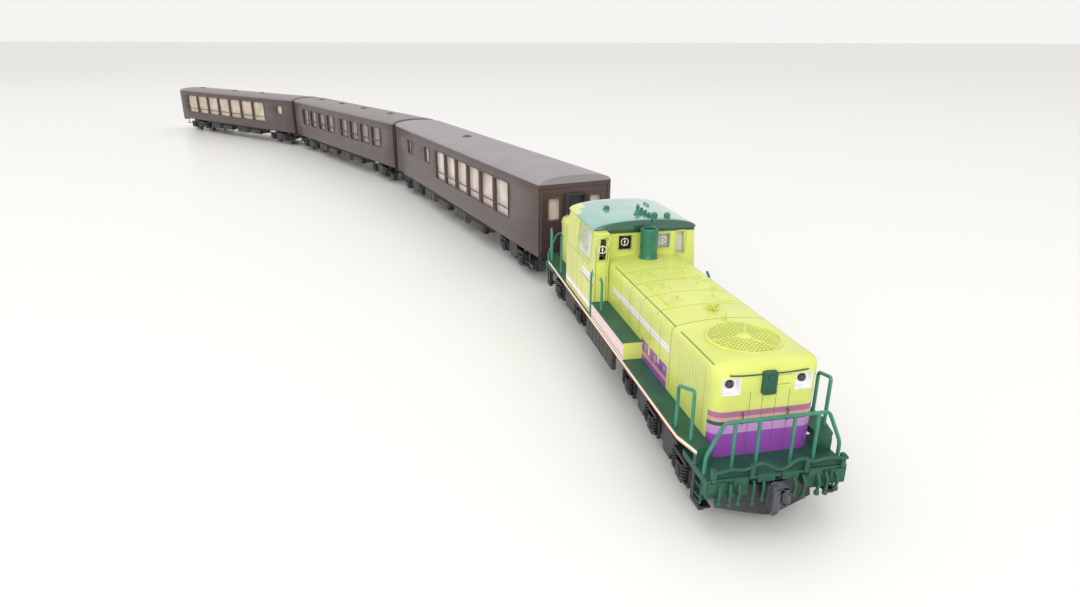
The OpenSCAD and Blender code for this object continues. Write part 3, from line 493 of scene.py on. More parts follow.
fan_x, fan_r, fan_z = 32.3, 4.75, 20.26
gap_lime = finish("fan_gap_lime", (0.40, 0.45, 0.09), rough=0.5, tone=0.1, patch=2, grain=0.1, relief=0.01)
radius, angle = np.meshgrid(np.linspace(0.05, fan_r - 0.2, 6), np.arange(48) * np.pi / 24, indexing="ij")
well_y = radius * np.sin(angle)
well = np.stack([fan_x + radius * np.cos(angle), well_y, crown(well_y) + 0.05], -1)
piece("fan_well", [(well.reshape(-1, 3), quads(6, 48, close_m=True) + [list(range(48))])], gap_lime,
      "locomotive", wall=0.1)
grille = [turned_ring([(fan_r - 0.35, -0.4), (fan_r, -0.4), (fan_r, 0.02), (fan_r - 0.12, 0.1),
                       (fan_r - 0.35, 0.02)], (fan_x, 0, fan_z - 0.1), 64)]
for turn in (45, -45):
    c, s = np.cos(np.radians(turn)), np.sin(np.radians(turn))
    for d in np.arange(-4.2, 4.3, 0.42):
        half = np.sqrt(fan_r ** 2 - d ** 2) - 0.2
        ends = np.array([(-half, d), (half, d)]) @ np.array([(c, s), (-s, c)])
        line = ends[0] + np.linspace(0, 1, 7)[:, None] * (ends[1] - ends[0])
        grille.append(tube(np.c_[fan_x + line[:, 0], line[:, 1],
                                 crown(line[:, 1]) + 0.1 + 0.03 * (turn > 0)], 0.07, 4))
for k in range(3):
    a = np.radians(120 * k + 30)
    grille.append(tube(np.array([(fan_x, 0, fan_z), (fan_x + 4.5 * np.cos(a), 4.5 * np.sin(a),
                                                     crown(4.5 * np.sin(a)) + 0.1)]), 0.13, 6))
grille.append(turned([(0.9, 0), (0.9, 0.12), (0.5, 0.2)], (fan_x, 0, fan_z - 0.08), 2, 24))
piece("fan_grille", grille, plain_lime, "locomotive")

# ---------------------------------------------------------------- headlights
# Four white bowls sit in the faces of the hoods, each with a round lens over a dark socket. They are
# moulded in white plastic and pressed in from inside.

lamp_white = finish("lamp_white", (0.80, 0.80, 0.80), rough=0.25, tone=0.1, patch=1, grain=0.06,
                    relief=0.004, coat=0.4)
lens_black = finish("lens_black", (0.01, 0.01, 0.012), rough=0.08, tone=0.2, patch=0.5, grain=0.05,
                    relief=0.001, coat=1.0)


def square_ring(y, z, half_y, half_z, x):
    """Corners of a rectangle as far back as the hood's rounded face lies there, at depth x."""
    return np.array([(x - bow(y + a * half_y, z + b * half_z), y + a * half_y, z + b * half_z)
                     for a, b in ((-1, -1), (1, -1), (1, 1), (-1, 1))])


bowls, lenses = [], []
for s in (-1, 1):
    y, z = s * lamp_y, lamp_z
    bowl = loft([square_ring(y, z, h, v, x) for h, v, x in
                 ((1.14, 1.09, 38.2), (1.14, 1.09, 39.12), (1.08, 1.03, 39.12), (0.8, 0.75, 38.55))])
    bowls.append(bowl)
    lenses.append(turned([(0.55, -0.1), (0.55, 0.12), (0.42, 0.3), (0.2, 0.38)],
                         (38.55, y - 0.05, z + 0.22), 0, 20))
for end in ("front", "rear"):
    for what, parts, stuff in (("bowls", bowls, lamp_white), ("lenses", lenses, lens_black)):
        if end == "rear":
            parts = flipped([(p - (nose_x + short_x, 0, 0), fs) for p, fs in parts])
        piece("%s_lamp_%s" % (end, what), parts, stuff, "locomotive",
              ("headlights",) if what == "bowls" else (), shade=25)

# ---------------------------------------------------------------- nose fittings
# A dark green box for the marker lamp stands on the middle of the face, under a thin rain strip.

nose_bits = [block((38.9, 39.75), (-0.87, 0.87), (15.9, 18.85), 0.15),
             block((39.3, 39.85), (-0.58, 0.58), (16.3, 17.5), 0.12),
             turned([(0.4, 0), (0.4, 0.12), (0.3, 0.16)], (39.72, 0, 18.1), 0, 16)]
strip_y = np.linspace(-4.95, 4.95, 24)
strip_z = 18.4 + 0.2 * (strip_y / 4.95) ** 4
nose_bits.append(tube(np.c_[39.15 + 0 * strip_y, strip_y, strip_z], 0.09, 6))
for s in (-1, 1):
    nose_bits.append(tube(bend([(39.1, s * 2.9, 12.2), (39.4, s * 2.9, 12.2), (39.4, s * 2.9, 13.6),
                                (39.1, s * 2.9, 13.6)], 0.15), 0.07, 6))
piece("nose_fittings", nose_bits, beam_green, "locomotive")

# ---------------------------------------------------------------- cab
# The cab is a thin shell with a stepped plan: on the left the wall runs forward beside the hood to a
# door, and on the right it runs back in the same way. It is painted lime, with a printed livery.

cab_floor, lean_from, eave, cab_half, eave_half, door_y = 10.15, 16.35, 24.65, 9.6, 9.0, 6.95
door_x, cab_mid = -2.1, (cab_front_x + cab_rear_x) / 2
back_x = 2 * cab_mid - door_x
cab_plan = [(door_x, -cab_half), (door_x, -door_y), (cab_front_x, -door_y), (cab_front_x, cab_half),
            (back_x, cab_half), (back_x, door_y), (cab_rear_x, door_y), (cab_rear_x, -cab_half)]


def walls(plan, rows, openings):
    """Upright walls along a closed plan from one row height to the next, with openings left out. An
    opening is (side, from, to, low, high), measured along x or y, whichever the side runs along."""
    out = []
    for side, (a, b) in enumerate(zip(plan, plan[1:] + plan[:1])):
        a, b = np.array(a, float), np.array(b, float)
        k = int(abs(b - a)[1] > abs(b - a)[0])
        here = [o for o in openings if o[0] == side]
        cuts_at = np.unique([a[k], b[k]] + [v for o in here for v in o[1:3]])
        steps = np.unique(list(rows) + [v for o in openings for v in o[3:5]])
        t = (cuts_at - a[k]) / (b - a)[k]
        flat = a + t[:, None] * (b - a)
        points = np.dstack([np.repeat(flat[:, None], len(steps), 1), np.tile(steps, (len(t), 1))])
        faces = np.array(quads(len(t), len(steps)))
        mid = points.reshape(-1, 3)[faces].mean(1)
        gone = np.zeros(len(faces), bool)
        for o in here:
            gone |= (mid[:, k] > o[1]) & (mid[:, k] < o[2]) & (mid[:, 2] > o[3]) & (mid[:, 2] < o[4])
        out.append((points.reshape(-1, 3), faces[~gone].tolist()))
    return out


def lean(parts):
    """Draws the outer side walls in above lean_from, in a straight line up to eave_half at the eaves."""
    out = []
    for p, fs in parts:
        share = np.clip((p[:, 2] - lean_from) / (eave - lean_from), 0, 1)
        y = p[:, 1] * np.where(abs(p[:, 1]) > 7.2, 1 - share * (1 - eave_half / cab_half), 1)
        out.append((np.c_[p[:, 0], y, p[:, 2]], fs))
    return out


def half_turn(x):
    """Where a half turn about the cab's middle takes a place along the cab."""
    return 2 * cab_mid - x


def spot(h, x, y):
    """A place on the cab for h = 1, or the one that it has after the half turn for h = -1."""
    return (x if h > 0 else half_turn(x)), h * y


door_pane, tall_pane = (7.35, 8.95, 20.0, 24.0), (5.75, 7.6, 19.85, 24.0)
inner_pane, side_pane = (2.1, 4.75, 20.95, 23.75), (-13.4, -4.9, 19.1, 24.3)
cab_openings = [(0, -door_pane[1], -door_pane[0], *door_pane[2:]), (2, *tall_pane), (2, *inner_pane),
                (2, -inner_pane[1], -inner_pane[0], *inner_pane[2:]), (7, *side_pane)]
cab_openings += [(4, door_pane[0], door_pane[1], *door_pane[2:]),
                 (6, -tall_pane[1], -tall_pane[0], *tall_pane[2:]), (6, *inner_pane),
                 (6, -inner_pane[1], -inner_pane[0], *inner_pane[2:]),
                 (3, half_turn(side_pane[1]), half_turn(side_pane[0]), *side_pane[2:])]
cab_walls = lean(walls(cab_plan, [cab_floor, lean_from, 20.5, eave], cab_openings))
cab_paint = []
for c, z0, z1 in ((white, 16.75, 17.15), (sky, 16.4, 16.75), (white, 16.05, 16.4), (red, 15.7, 16.05)):
    cab_paint.append((c, ((-9.8, door_x - 0.1), (-9.9, -7.2), (z0, z1))))
for y in ((-9.9, -9.5), (9.5, 9.9)):
    cab_paint += [(pink, ((-25.5, 0), y, (11.9, 12.3))), (white, ((-25.5, 0), y, (11.2, 11.9))),
                  (salmon, ((-25.5, 0), y, (10.6, 10.9)))]
cab_paint += [(deep_green, ((-4.9, -4.3), (-6.9, 9.2), (23.98, 25))),
              (deep_green, ((-21.2, -20.6), (-9.2, 6.9), (23.98, 25)))]
cab_cuts = [((door_x - 0.3, 0), (y - 0.05, y + 0.05), (10.5, 24.2)) for y in (-9.2, -7.3)]
cab_cuts += [((x - 0.06, x + 0.06), big, (10.5, 24.2)) for x in (-12.9, -16.2, -9.2)]
cab_cuts += [((-20, -6), (-9.9, -8.5), (18.4, 18.5)), ((door_x - 0.3, 0), (-9.2, -7.3), (19.9, 20.0))]
cab_lime = finish("cab_lime_paint", lime, rough=0.34, tone=0.07, patch=6, grain=0.09, relief=0.006,
                  coat=0.25, prints=cab_paint, cuts=cab_cuts, ink=(0.05, 0.15, 0.05))
piece("cab_walls", cab_walls, cab_lime, "locomotive", ("cab_shell",), wall=0.6)
lids = [block((cab_front_x - 0.2, door_x + 0.12), (-9.15, -door_y + 0.12), (24.45, 24.75), 0.12)]
lids += [(np.c_[half_turn(p[:, 0]), -p[:, 1], p[:, 2]], fs) for p, fs in lids]
x, out_x = door_x + 0.05, door_x + 0.4
lids.append(tube(bend([(x, -7.45, 17.4), (out_x, -7.45, 17.4), (out_x, -7.45, 19.2), (x, -7.45, 19.2)],
                      0.15), 0.08, 6))
lids.append(block((-4.5, -4.42), (2.0, 4.8), (20.85, 21.0), 0.03))
piece("cab_door_lids", lids, plain_lime, "locomotive")


def frame_ring(width, height, r=0.25, bar=0.16, depth=0.12, n=5):
    """A rounded window frame in its own plane: a bar section carried round a rectangle whose corners
    have radius r. Points are (across, up, out)."""
    a = np.linspace(0, np.pi / 2, n)
    corners = [((width / 2 - r) * sx, (height / 2 - r) * sy, k)
               for k, (sx, sy) in enumerate(((1, 1), (-1, 1), (-1, -1), (1, -1)))]
    centre = np.concatenate([np.tile((cx, cy), (n, 1)) for cx, cy, k in corners])
    out = np.concatenate([np.c_[np.cos(a + k * np.pi / 2), np.sin(a + k * np.pi / 2)] for cx, cy,
                          k in corners])
    ring_in, ring_out = centre + (r - bar) * out, centre + (r + bar * 0.6) * out
    rings = [np.c_[ring_out, 0 * ring_out[:, 0] - 0.1], np.c_[ring_out, 0 * ring_out[:, 0] + depth],
             np.c_[ring_in, 0 * ring_in[:, 0] + depth], np.c_[ring_in, 0 * ring_in[:, 0] - 0.45]]
    points = np.stack(rings)
    return points.reshape(-1, 3), quads(4, points.shape[1], close_n=True, close_m=True)


def on_wall(part, at, across, up, out):
    """Takes (across, up, out) points to a wall whose directions are given."""
    p, fs = part
    return np.array(at, float) + p @ np.array([across, up, out], float), fs


# ---------------------------------------------------------------- cab windows
# Thin frames are moulded round the openings, with milky clear panes pressed in from inside. The front
# panes carry a printed white ring each.

cab_frames, side_panes, rings = [], [], []
tilt = (cab_half - eave_half) / (eave - lean_from)
for h in (1, -1):
    left_inner = (-inner_pane[1], -inner_pane[0], *inner_pane[2:])
    panes = ((door_pane, door_x), (tall_pane, cab_front_x), (inner_pane, cab_front_x),
             (left_inner, cab_front_x))
    for (y0, y1, z0, z1), x in panes:
        px, py = spot(h, x, -(y0 + y1) / 2 if x == door_x else (y0 + y1) / 2)
        wall_here = ((px, py, (z0 + z1) / 2), (0, 1, 0), (0, 0, 1), (h, 0, 0))
        cab_frames.append(on_wall(frame_ring(y1 - y0, z1 - z0), *wall_here))
    px, py = spot(h, (side_pane[0] + side_pane[1]) / 2, -9.6 + tilt * (21.65 - lean_from))
    wall_here = ((px, py, 21.7), (1, 0, 0), (0, tilt * h, 1), (0, -h, 0))
    cab_frames.append(on_wall(frame_ring(8.5, 5.2), *wall_here))
    side_panes.append(on_wall(block((-4.2, 4.2), (-2.55, 2.55), (-0.35, -0.15), 0.04), *wall_here))
frame_lime = finish("window_frame_lime", (0.52, 0.58, 0.16), rough=0.4, tone=0.1, patch=2, grain=0.08,
                    relief=0.005)
piece("cab_window_frames", cab_frames, frame_lime, "locomotive")
ring_r = 0.62
for h in (1, -1):
    for y, z, x in ((-3.4, 22.4, cab_front_x), (-8.1, 22.0, door_x), (3.4, 22.4, cab_front_x)):
        px = (x if h > 0 else half_turn(x)) - h * (0.05 if x == door_x else 0.25)
        a = np.linspace(0, 2 * np.pi, 33)[:-1]
        circle = np.c_[0 * a + px, h * y + ring_r * np.cos(a), z + ring_r * np.sin(a)]
        section = [circle + np.array([dx, 0, 0]) + (circle - (px, h * y, z)) * k
                   for dx, k in ((-0.06, -0.1), (0.06, -0.1), (0.06, 0.1), (-0.06, 0.1))]
        rings.append((np.concatenate(section), quads(4, 32, close_n=True, close_m=True)))
        rings.append(tube([(px, h * y, z - ring_r), (px, h * y, z + ring_r)], 0.07, 6))
        rings.append(turned([(0.16, -0.08), (0.16, 0.08)], (px, h * y, z), 0, 12))
piece("clear_view_rings", rings, lamp_white, "locomotive")

# The panes of the left door and of the front window left of the stack are printed near black: painted shade
# of the dark cab inside seen through them.
cab_milk_with_painted_shade = finish("cab_milky_glazing_with_painted_shade", (0.80, 0.84, 0.84), rough=0.08, tone=0.15, patch=3, grain=0.3,
                  relief=0.0015, clear=0.3,
                  prints=[((0.02, 0.02, 0.02), ((-5.95, 0), (-9.5, -1.5), (18, 25)))])
coat_with(cab_milk_with_painted_shade, "cab_glazing")

pane_milk = finish("side_pane_milky", (0.78, 0.82, 0.82), rough=0.1, tone=0.2, patch=2, grain=0.3,
                   relief=0.0015, clear=0.2)
piece("cab_side_panes", side_panes, pane_milk, "locomotive")

# ---------------------------------------------------------------- inside the cab
# The floor, the desks and the driver's seats are one grey moulding behind the panes.

desk_grey = finish("cab_inside_grey", (0.10, 0.11, 0.11), rough=0.6, tone=0.2, patch=3, grain=0.2,
                   relief=0.01)
inside_cab = [block((-20.1, -5.4), (-8.0, 8.0), (18.5, 18.9), 0.1)]
for h in (1, -1):
    for x0, x1, y0, y1, z0, z1 in ((-8.2, -6.2, 1.2, 7.0, 18.9, 20.6), (-11.6, -9.8, 4.0, 6.0, 18.9, 20.3),
                                   (-12.1, -11.6, 4.0, 6.0, 18.9, 22.2)):
        (ax, ay), (bx, by) = spot(h, x0, y0), spot(h, x1, y1)
        inside_cab.append(block((ax, bx), (ay, by), (z0, z1), 0.2))
piece("cab_inside", inside_cab, desk_grey, "locomotive")

# ---------------------------------------------------------------- cab roof
# The roof is one glossy moulding in translucent green, arched across the cab, with its edge turned
# down at both ends. The whistle, the vents and the bracket are plugged into it.

roof_x0, roof_x1, roof_half, roof_top = -21.5, -4.0, 9.15, 26.35


def roof_section(x, drop, draw):
    """The roof's outline at x: an arch y = half sin a, z = eave + rise cos(a)^0.9, drawn in near its ends."""
    a = np.radians(np.linspace(-90, 90, 33))
    half, rise = roof_half - draw, roof_top - eave - drop
    y, z = half * np.sin(a), eave + rise * np.clip(np.cos(a), 0, 1) ** 0.9
    low = np.linspace(half, -half, 17)[1:-1]
    return np.c_[np.full(48, x), np.r_[y, low], np.r_[z, np.full(15, eave - 0.02)]]


ends = np.radians([0, 30, 60, 90])
xs = np.r_[roof_x0 + 0.5 * (1 - np.sin(ends)), np.linspace(roof_x0 + 2, roof_x1 - 2, 10),
           (roof_x1 - 0.5 * (1 - np.sin(ends)))[::-1]]
draws = np.r_[0.45 * (1 - np.cos(ends)), np.zeros(10), (0.45 * (1 - np.cos(ends)))[::-1]]
xs[:4], draws[:4] = xs[:4][::-1], draws[:4][::-1]
xs[-4:], draws[-4:] = xs[-4:][::-1], draws[-4:][::-1]
roof_body = loft([roof_section(x, d, d * 0.4) for x, d in zip(xs, draws)])
roof_paint = [(lime, ((-21.4, -17.5), (-9.5, -7.0), (24, 27))),
              (lime, ((-17.5, -15), (-9.5, -8.2), (24, 27)))]
roof_paint += [((0.02, 0.09, 0.055), (x, big, (24, 27))) for x in ((-4.2, -3.9), (-21.6, -21.3))]
# The roof's base colour is its green made paler and greyer as painted sheen of the light on the glossy top;
# the dark green bands printed at both ends are the moulding's own darker edges.
roof_green = finish("roof_green", (0.17, 0.43, 0.37), rough=0.14, tone=0.16, patch=5, grain=0.2,
                    relief=0.004, coat=1.0, clear=0.05, prints=roof_paint,
                    cuts=[((-12.85, -12.75), big, (24.7, 28)), ((-22, -4.2), (-0.05, 0.05), (24.7, 28))],
                    ink=(0.02, 0.2, 0.14))
piece("cab_roof_shell", [roof_body], roof_green, "locomotive", ("cab_roof",))
roof_bits = [turned([(0.75, 0), (0.75, 0.25), (0.42, 0.6), (0.3, 1.3), (0.34, 1.6), (0.12, 2.0)],
                    (-7.7, -0.3, 26.15), 2, 16)]
for x, y in ((-4.8, 1.7), (-4.8, 4.0)):
    z = eave + (roof_top - eave) * np.cos(np.arcsin(y / roof_half)) ** 0.9
    roof_bits.append(turned([(0.5, -0.2), (0.5, 0.3), (0.58, 0.35), (0.55, 0.7), (0.3, 0.95), (0.05, 1.02)],
                            (x, y, z), 2, 16))
roof_bits.append(turned([(0.8, -0.6), (0.8, 0.1), (0.55, 0.3), (0.5, 0.7), (0.2, 0.85)],
                        (-13.4, -4.2, 26.0), 2, 16))
roof_bits.append(block((-9.6, -5.0), (0.75, 1.15), (26.1, 26.75), 0.1))
roof_bits += [turned([(0.28, 0), (0.28, 0.5), (0.12, 0.6)], (x, 0.95, 26.6), 2, 10)
              for x in (-9.2, -7.3, -5.4)]
roof_bits.append(tube(bend([(-5.2, 0.95, 26.6), (-3.9, 1.2, 26.6), (-3.8, 1.2, 25.7)], 0.5), 0.14, 6))
roof_bits.append(tube(bend([(-16.5, 4, 25.7), (-16.5, 4, 26.4), (-14.0, 4, 26.4), (-14.0, 4, 25.7)], 0.3),
                      0.13, 6))
piece("roof_fittings", roof_bits, rail_green, "locomotive")

# ---------------------------------------------------------------- exhaust stack
# The stack stands on the hood in front of the cab: a green plastic tube with a rolled lip and a flared
# foot, plugged into the hood and held to the cab by a small stay.

stack = turned([(1.15, 19.0), (1.15, 25.15), (1.32, 25.33), (1.5, 25.25), (1.55, 24.95), (1.48, 24.45),
                (1.45, 21.0), (1.5, 20.4), (1.75, 20.0), (1.75, 19.0)], (-2.2, 0, 0), 2, 32)
piece("exhaust_stack_tube", [stack, turned([(1.2, 22.0), (1.2, 22.2)], (-2.2, 0, 0), 2, 32),
                             block((-3.8, -3.2), (-0.8, 0.8), (22.5, 24.6), 0.1)], rail_green, "locomotive",
      ("exhaust_stack",))

# ---------------------------------------------------------------- handrails
# Handrails are bent wire, painted green and pressed into holes in the walkways and the end beams.

wire_green = finish("wire_green", (0.035, 0.21, 0.14), rough=0.38, tone=0.2, patch=2.0, grain=0.1,
                    relief=0.008, coat=0.2)
wire = 0.23
hoops = [tube(bend([(35.0, s * 9.3, 10.1), (35.0, s * 9.3, 15.75), (38.3, s * 8.75, 16.65),
                    (38.3, s * 8.75, 9.7)], 0.5), wire) for s in (-1, 1)]
end_rail = [tube(bend([(42, -8.5, 7.7), (42, -8.5, 10.05), (42, -6.5, 14.3), (42, 6.5, 14.3),
                       (42, 8.5, 10.05), (42, 8.5, 7.7)], 0.6), wire)]
end_rail += [tube([(42, y, 7.7), (42, y, 14.3)], wire) for y in (-5.2, -2.2, 2.2, 5.2)]
posts = [tube(bend([(2.2, s * 9.3, 12.8), (2.2, s * 9.3, 17.65), (1.3, s * 9.3, 18.15)], 0.4), wire)
         for s in (-1, 1)]
posts.append(tube(bend([(-2.9, -9.4, 9.7), (-2.9, -9.7, 10.1), (-2.9, -9.7, 17.6), (-2.9, -9.3, 18.3)],
                       0.3), wire * 0.9))
posts += [tube(bend([(-26.6, s * 9.3, 10.1), (-26.6, s * 9.3, 17.65), (-25.7, s * 9.3, 18.15)], 0.4), wire)
          for s in (-1, 1)]
piece("handrail_wires", hoops + end_rail + posts + flipped(hoops + end_rail), wire_green, "locomotive",
      ("handrails",))

# ---------------------------------------------------------------- tank, battery boxes and ploughs
# The grey tank hangs between the trucks, with ribbed battery boxes outside it. The ploughs are
# dark grey blades that curve out from the middle, bolted under the end beams.

tank_grey = finish("tank_grey", (0.045, 0.046, 0.043), rough=0.6, tone=0.14, patch=3, grain=0.12,
                   relief=0.01)
coat_with(tank_grey, "fuel_tank")
tank_bits = []
for s in (-1, 1):
    for x in np.arange(-5.2, 9.0, 2.1):
        tank_bits.append(block((x, x + 1.8), (s * 9.5, s * 9.7), (5.9, 9.0), 0.08))
        tank_bits.append(block((x + 0.7, x + 1.1), (s * 9.6, s * 9.74), (7.2, 7.6), 0.05))
piece("battery_box_lids", tank_bits, tank_grey, "locomotive")
plough_grey = finish("plough_grey", (0.02, 0.022, 0.021), rough=0.38, tone=0.2, patch=2.5, grain=0.1,
                     relief=0.01)


def blade(side):
    """Half of a plough: x falls back from the middle with (y / 6.3)^1.3, the foot rises evenly to the
    outer end, and it stands forward with the square of the depth below the beam."""
    y, t = np.meshgrid(np.linspace(0, 6.3, 14), np.linspace(0, 1, 9), indexing="ij")
    z = (1.4 + 0.9 * y / 6.3) * (1 - t) + 5.4 * t
    x = 42.1 - 1.5 * (y / 6.3) ** 1.3 + 0.5 * (1 - t) ** 2
    return np.stack([x, side * y, z], -1).reshape(-1, 3), quads(14, 9)


plough = [blade(-1), blade(1)]
piece("front_plough_blade", plough, plough_grey, "locomotive", ("snow_ploughs",), wall=0.35)
piece("rear_plough_blade", [(p * (-1, 1, 1), fs) for p, fs in plough], plough_grey, "locomotive",
      wall=0.35)
stays = [block((40.0, 43.0), (4.5, 6.1), (4.7, 5.4), 0.15),
         tube([(40.6, 5.6, 2.8), (38.8, 5.0, 4.9)], 0.2, 6),
         block((39.8, 42.3), (7.4, 8.75), (3.2, 3.5), 0.08)]
stays += flipped(stays, 1)
piece("front_plough_stays", stays, plough_grey, "locomotive")
piece("rear_plough_stays", flipped(stays), plough_grey, "locomotive")

# ---------------------------------------------------------------- couplers
# Knuckle couplers are moulded in dark grey plastic and turn on upright pins. Between two vehicles
# the pair stays hooked together as a drawbar.

coupler_grey = finish("coupler_grey", (0.07, 0.075, 0.088), rough=0.4, tone=0.2, patch=2, grain=0.1,
                      relief=0.01)
head = [block((40.8, 42.8), (-0.75, 0.75), (5.95, 6.85), 0.15),
        turned_ring([(0.9, 5.95), (1.6, 5.95), (1.6, 6.85), (0.9, 6.85)], (39.5, 0, 0)),
        block((42.65, 44.4), (-1.3, 1.3), (3.2, 6.85), 0.5),
        block((43.6, 45.5), (-1.25, -0.35), (3.5, 6.6), 0.4),
        block((43.9, 45.2), (0.1, 1.2), (4.2, 6.3), 0.45),
        turned([(0.35, 3.1), (0.35, 6.95)], (44.6, -0.8, 0), 2, 14)]
piece("front_coupler_head", head, coupler_grey, "front_coupler_arm", ("front_coupler",))
coat_with(coupler_grey, "coupler_pair_1", "coupler_pair_2", "coupler_pair_3", "tail_coupler")

# ---------------------------------------------------------------- coaches
# Each coach body is a moulded shell in satin brown paint, with window openings, printed bands and
# a separate grey roof. Both clip over the black underframe, which carries the seats.

half_l, half_w, sill_z, gutter_z, coach_top, roof_w = 65.2, 9.4, 7.25, 24.15, 25.95, 9.5
coach_plan = [(-half_l, -half_w), (half_l, -half_w), (half_l, half_w), (-half_l, half_w)]
tall_windows = {1: [(42.5 - 10.4 * k, 4.85, 12, 21.2)
                    for k in range(6)] + [(-24, 3.0, 15.5, 20.8), (-46, 2.4, 15.5, 20.6)],
                2: [(47.5 - 12.6 * k - (6 if k > 3 else 0), 4.6, 13, 21) for k in range(8)],
                3: [(30 - 13.3 * k, 6.1, 11, 21.4) for k in range(7)] + [(52, 3, 16, 20.6)]}
brown, frame_tint = (0.066, 0.039, 0.037), (0.085, 0.052, 0.048)
pane_tint = {1: (0.84, 0.74, 0.65), 2: (0.30, 0.27, 0.25), 3: (0.76, 0.64, 0.50)}
blind_tint = {1: (0.90, 0.80, 0.66), 2: (0.42, 0.38, 0.34), 3: (0.86, 0.72, 0.54)}
roof_tint = {1: (0.265, 0.243, 0.258), 2: (0.205, 0.178, 0.18), 3: (0.20, 0.168, 0.168)}
vent_places = {1: [-9.3], 2: [-47, -17, 12, 42], 3: [-52, -12, 20]}


def coach_place(i):
    """Takes a coach's own points to the train: its middle lies between its two truck pivots."""
    a, b = [np.array(joint("coach_%d_truck_%s_yaw" % (i, k))["pos_m"]) / MM for k in "ab"]
    ahead = (a - b) / np.linalg.norm(a - b)
    across = np.array([-ahead[1], ahead[0], 0])
    turn, middle = np.array([ahead, across, (0, 0, 1)]), (a + b) / 2 * (1, 1, 0)
    return lambda p: p @ turn + middle


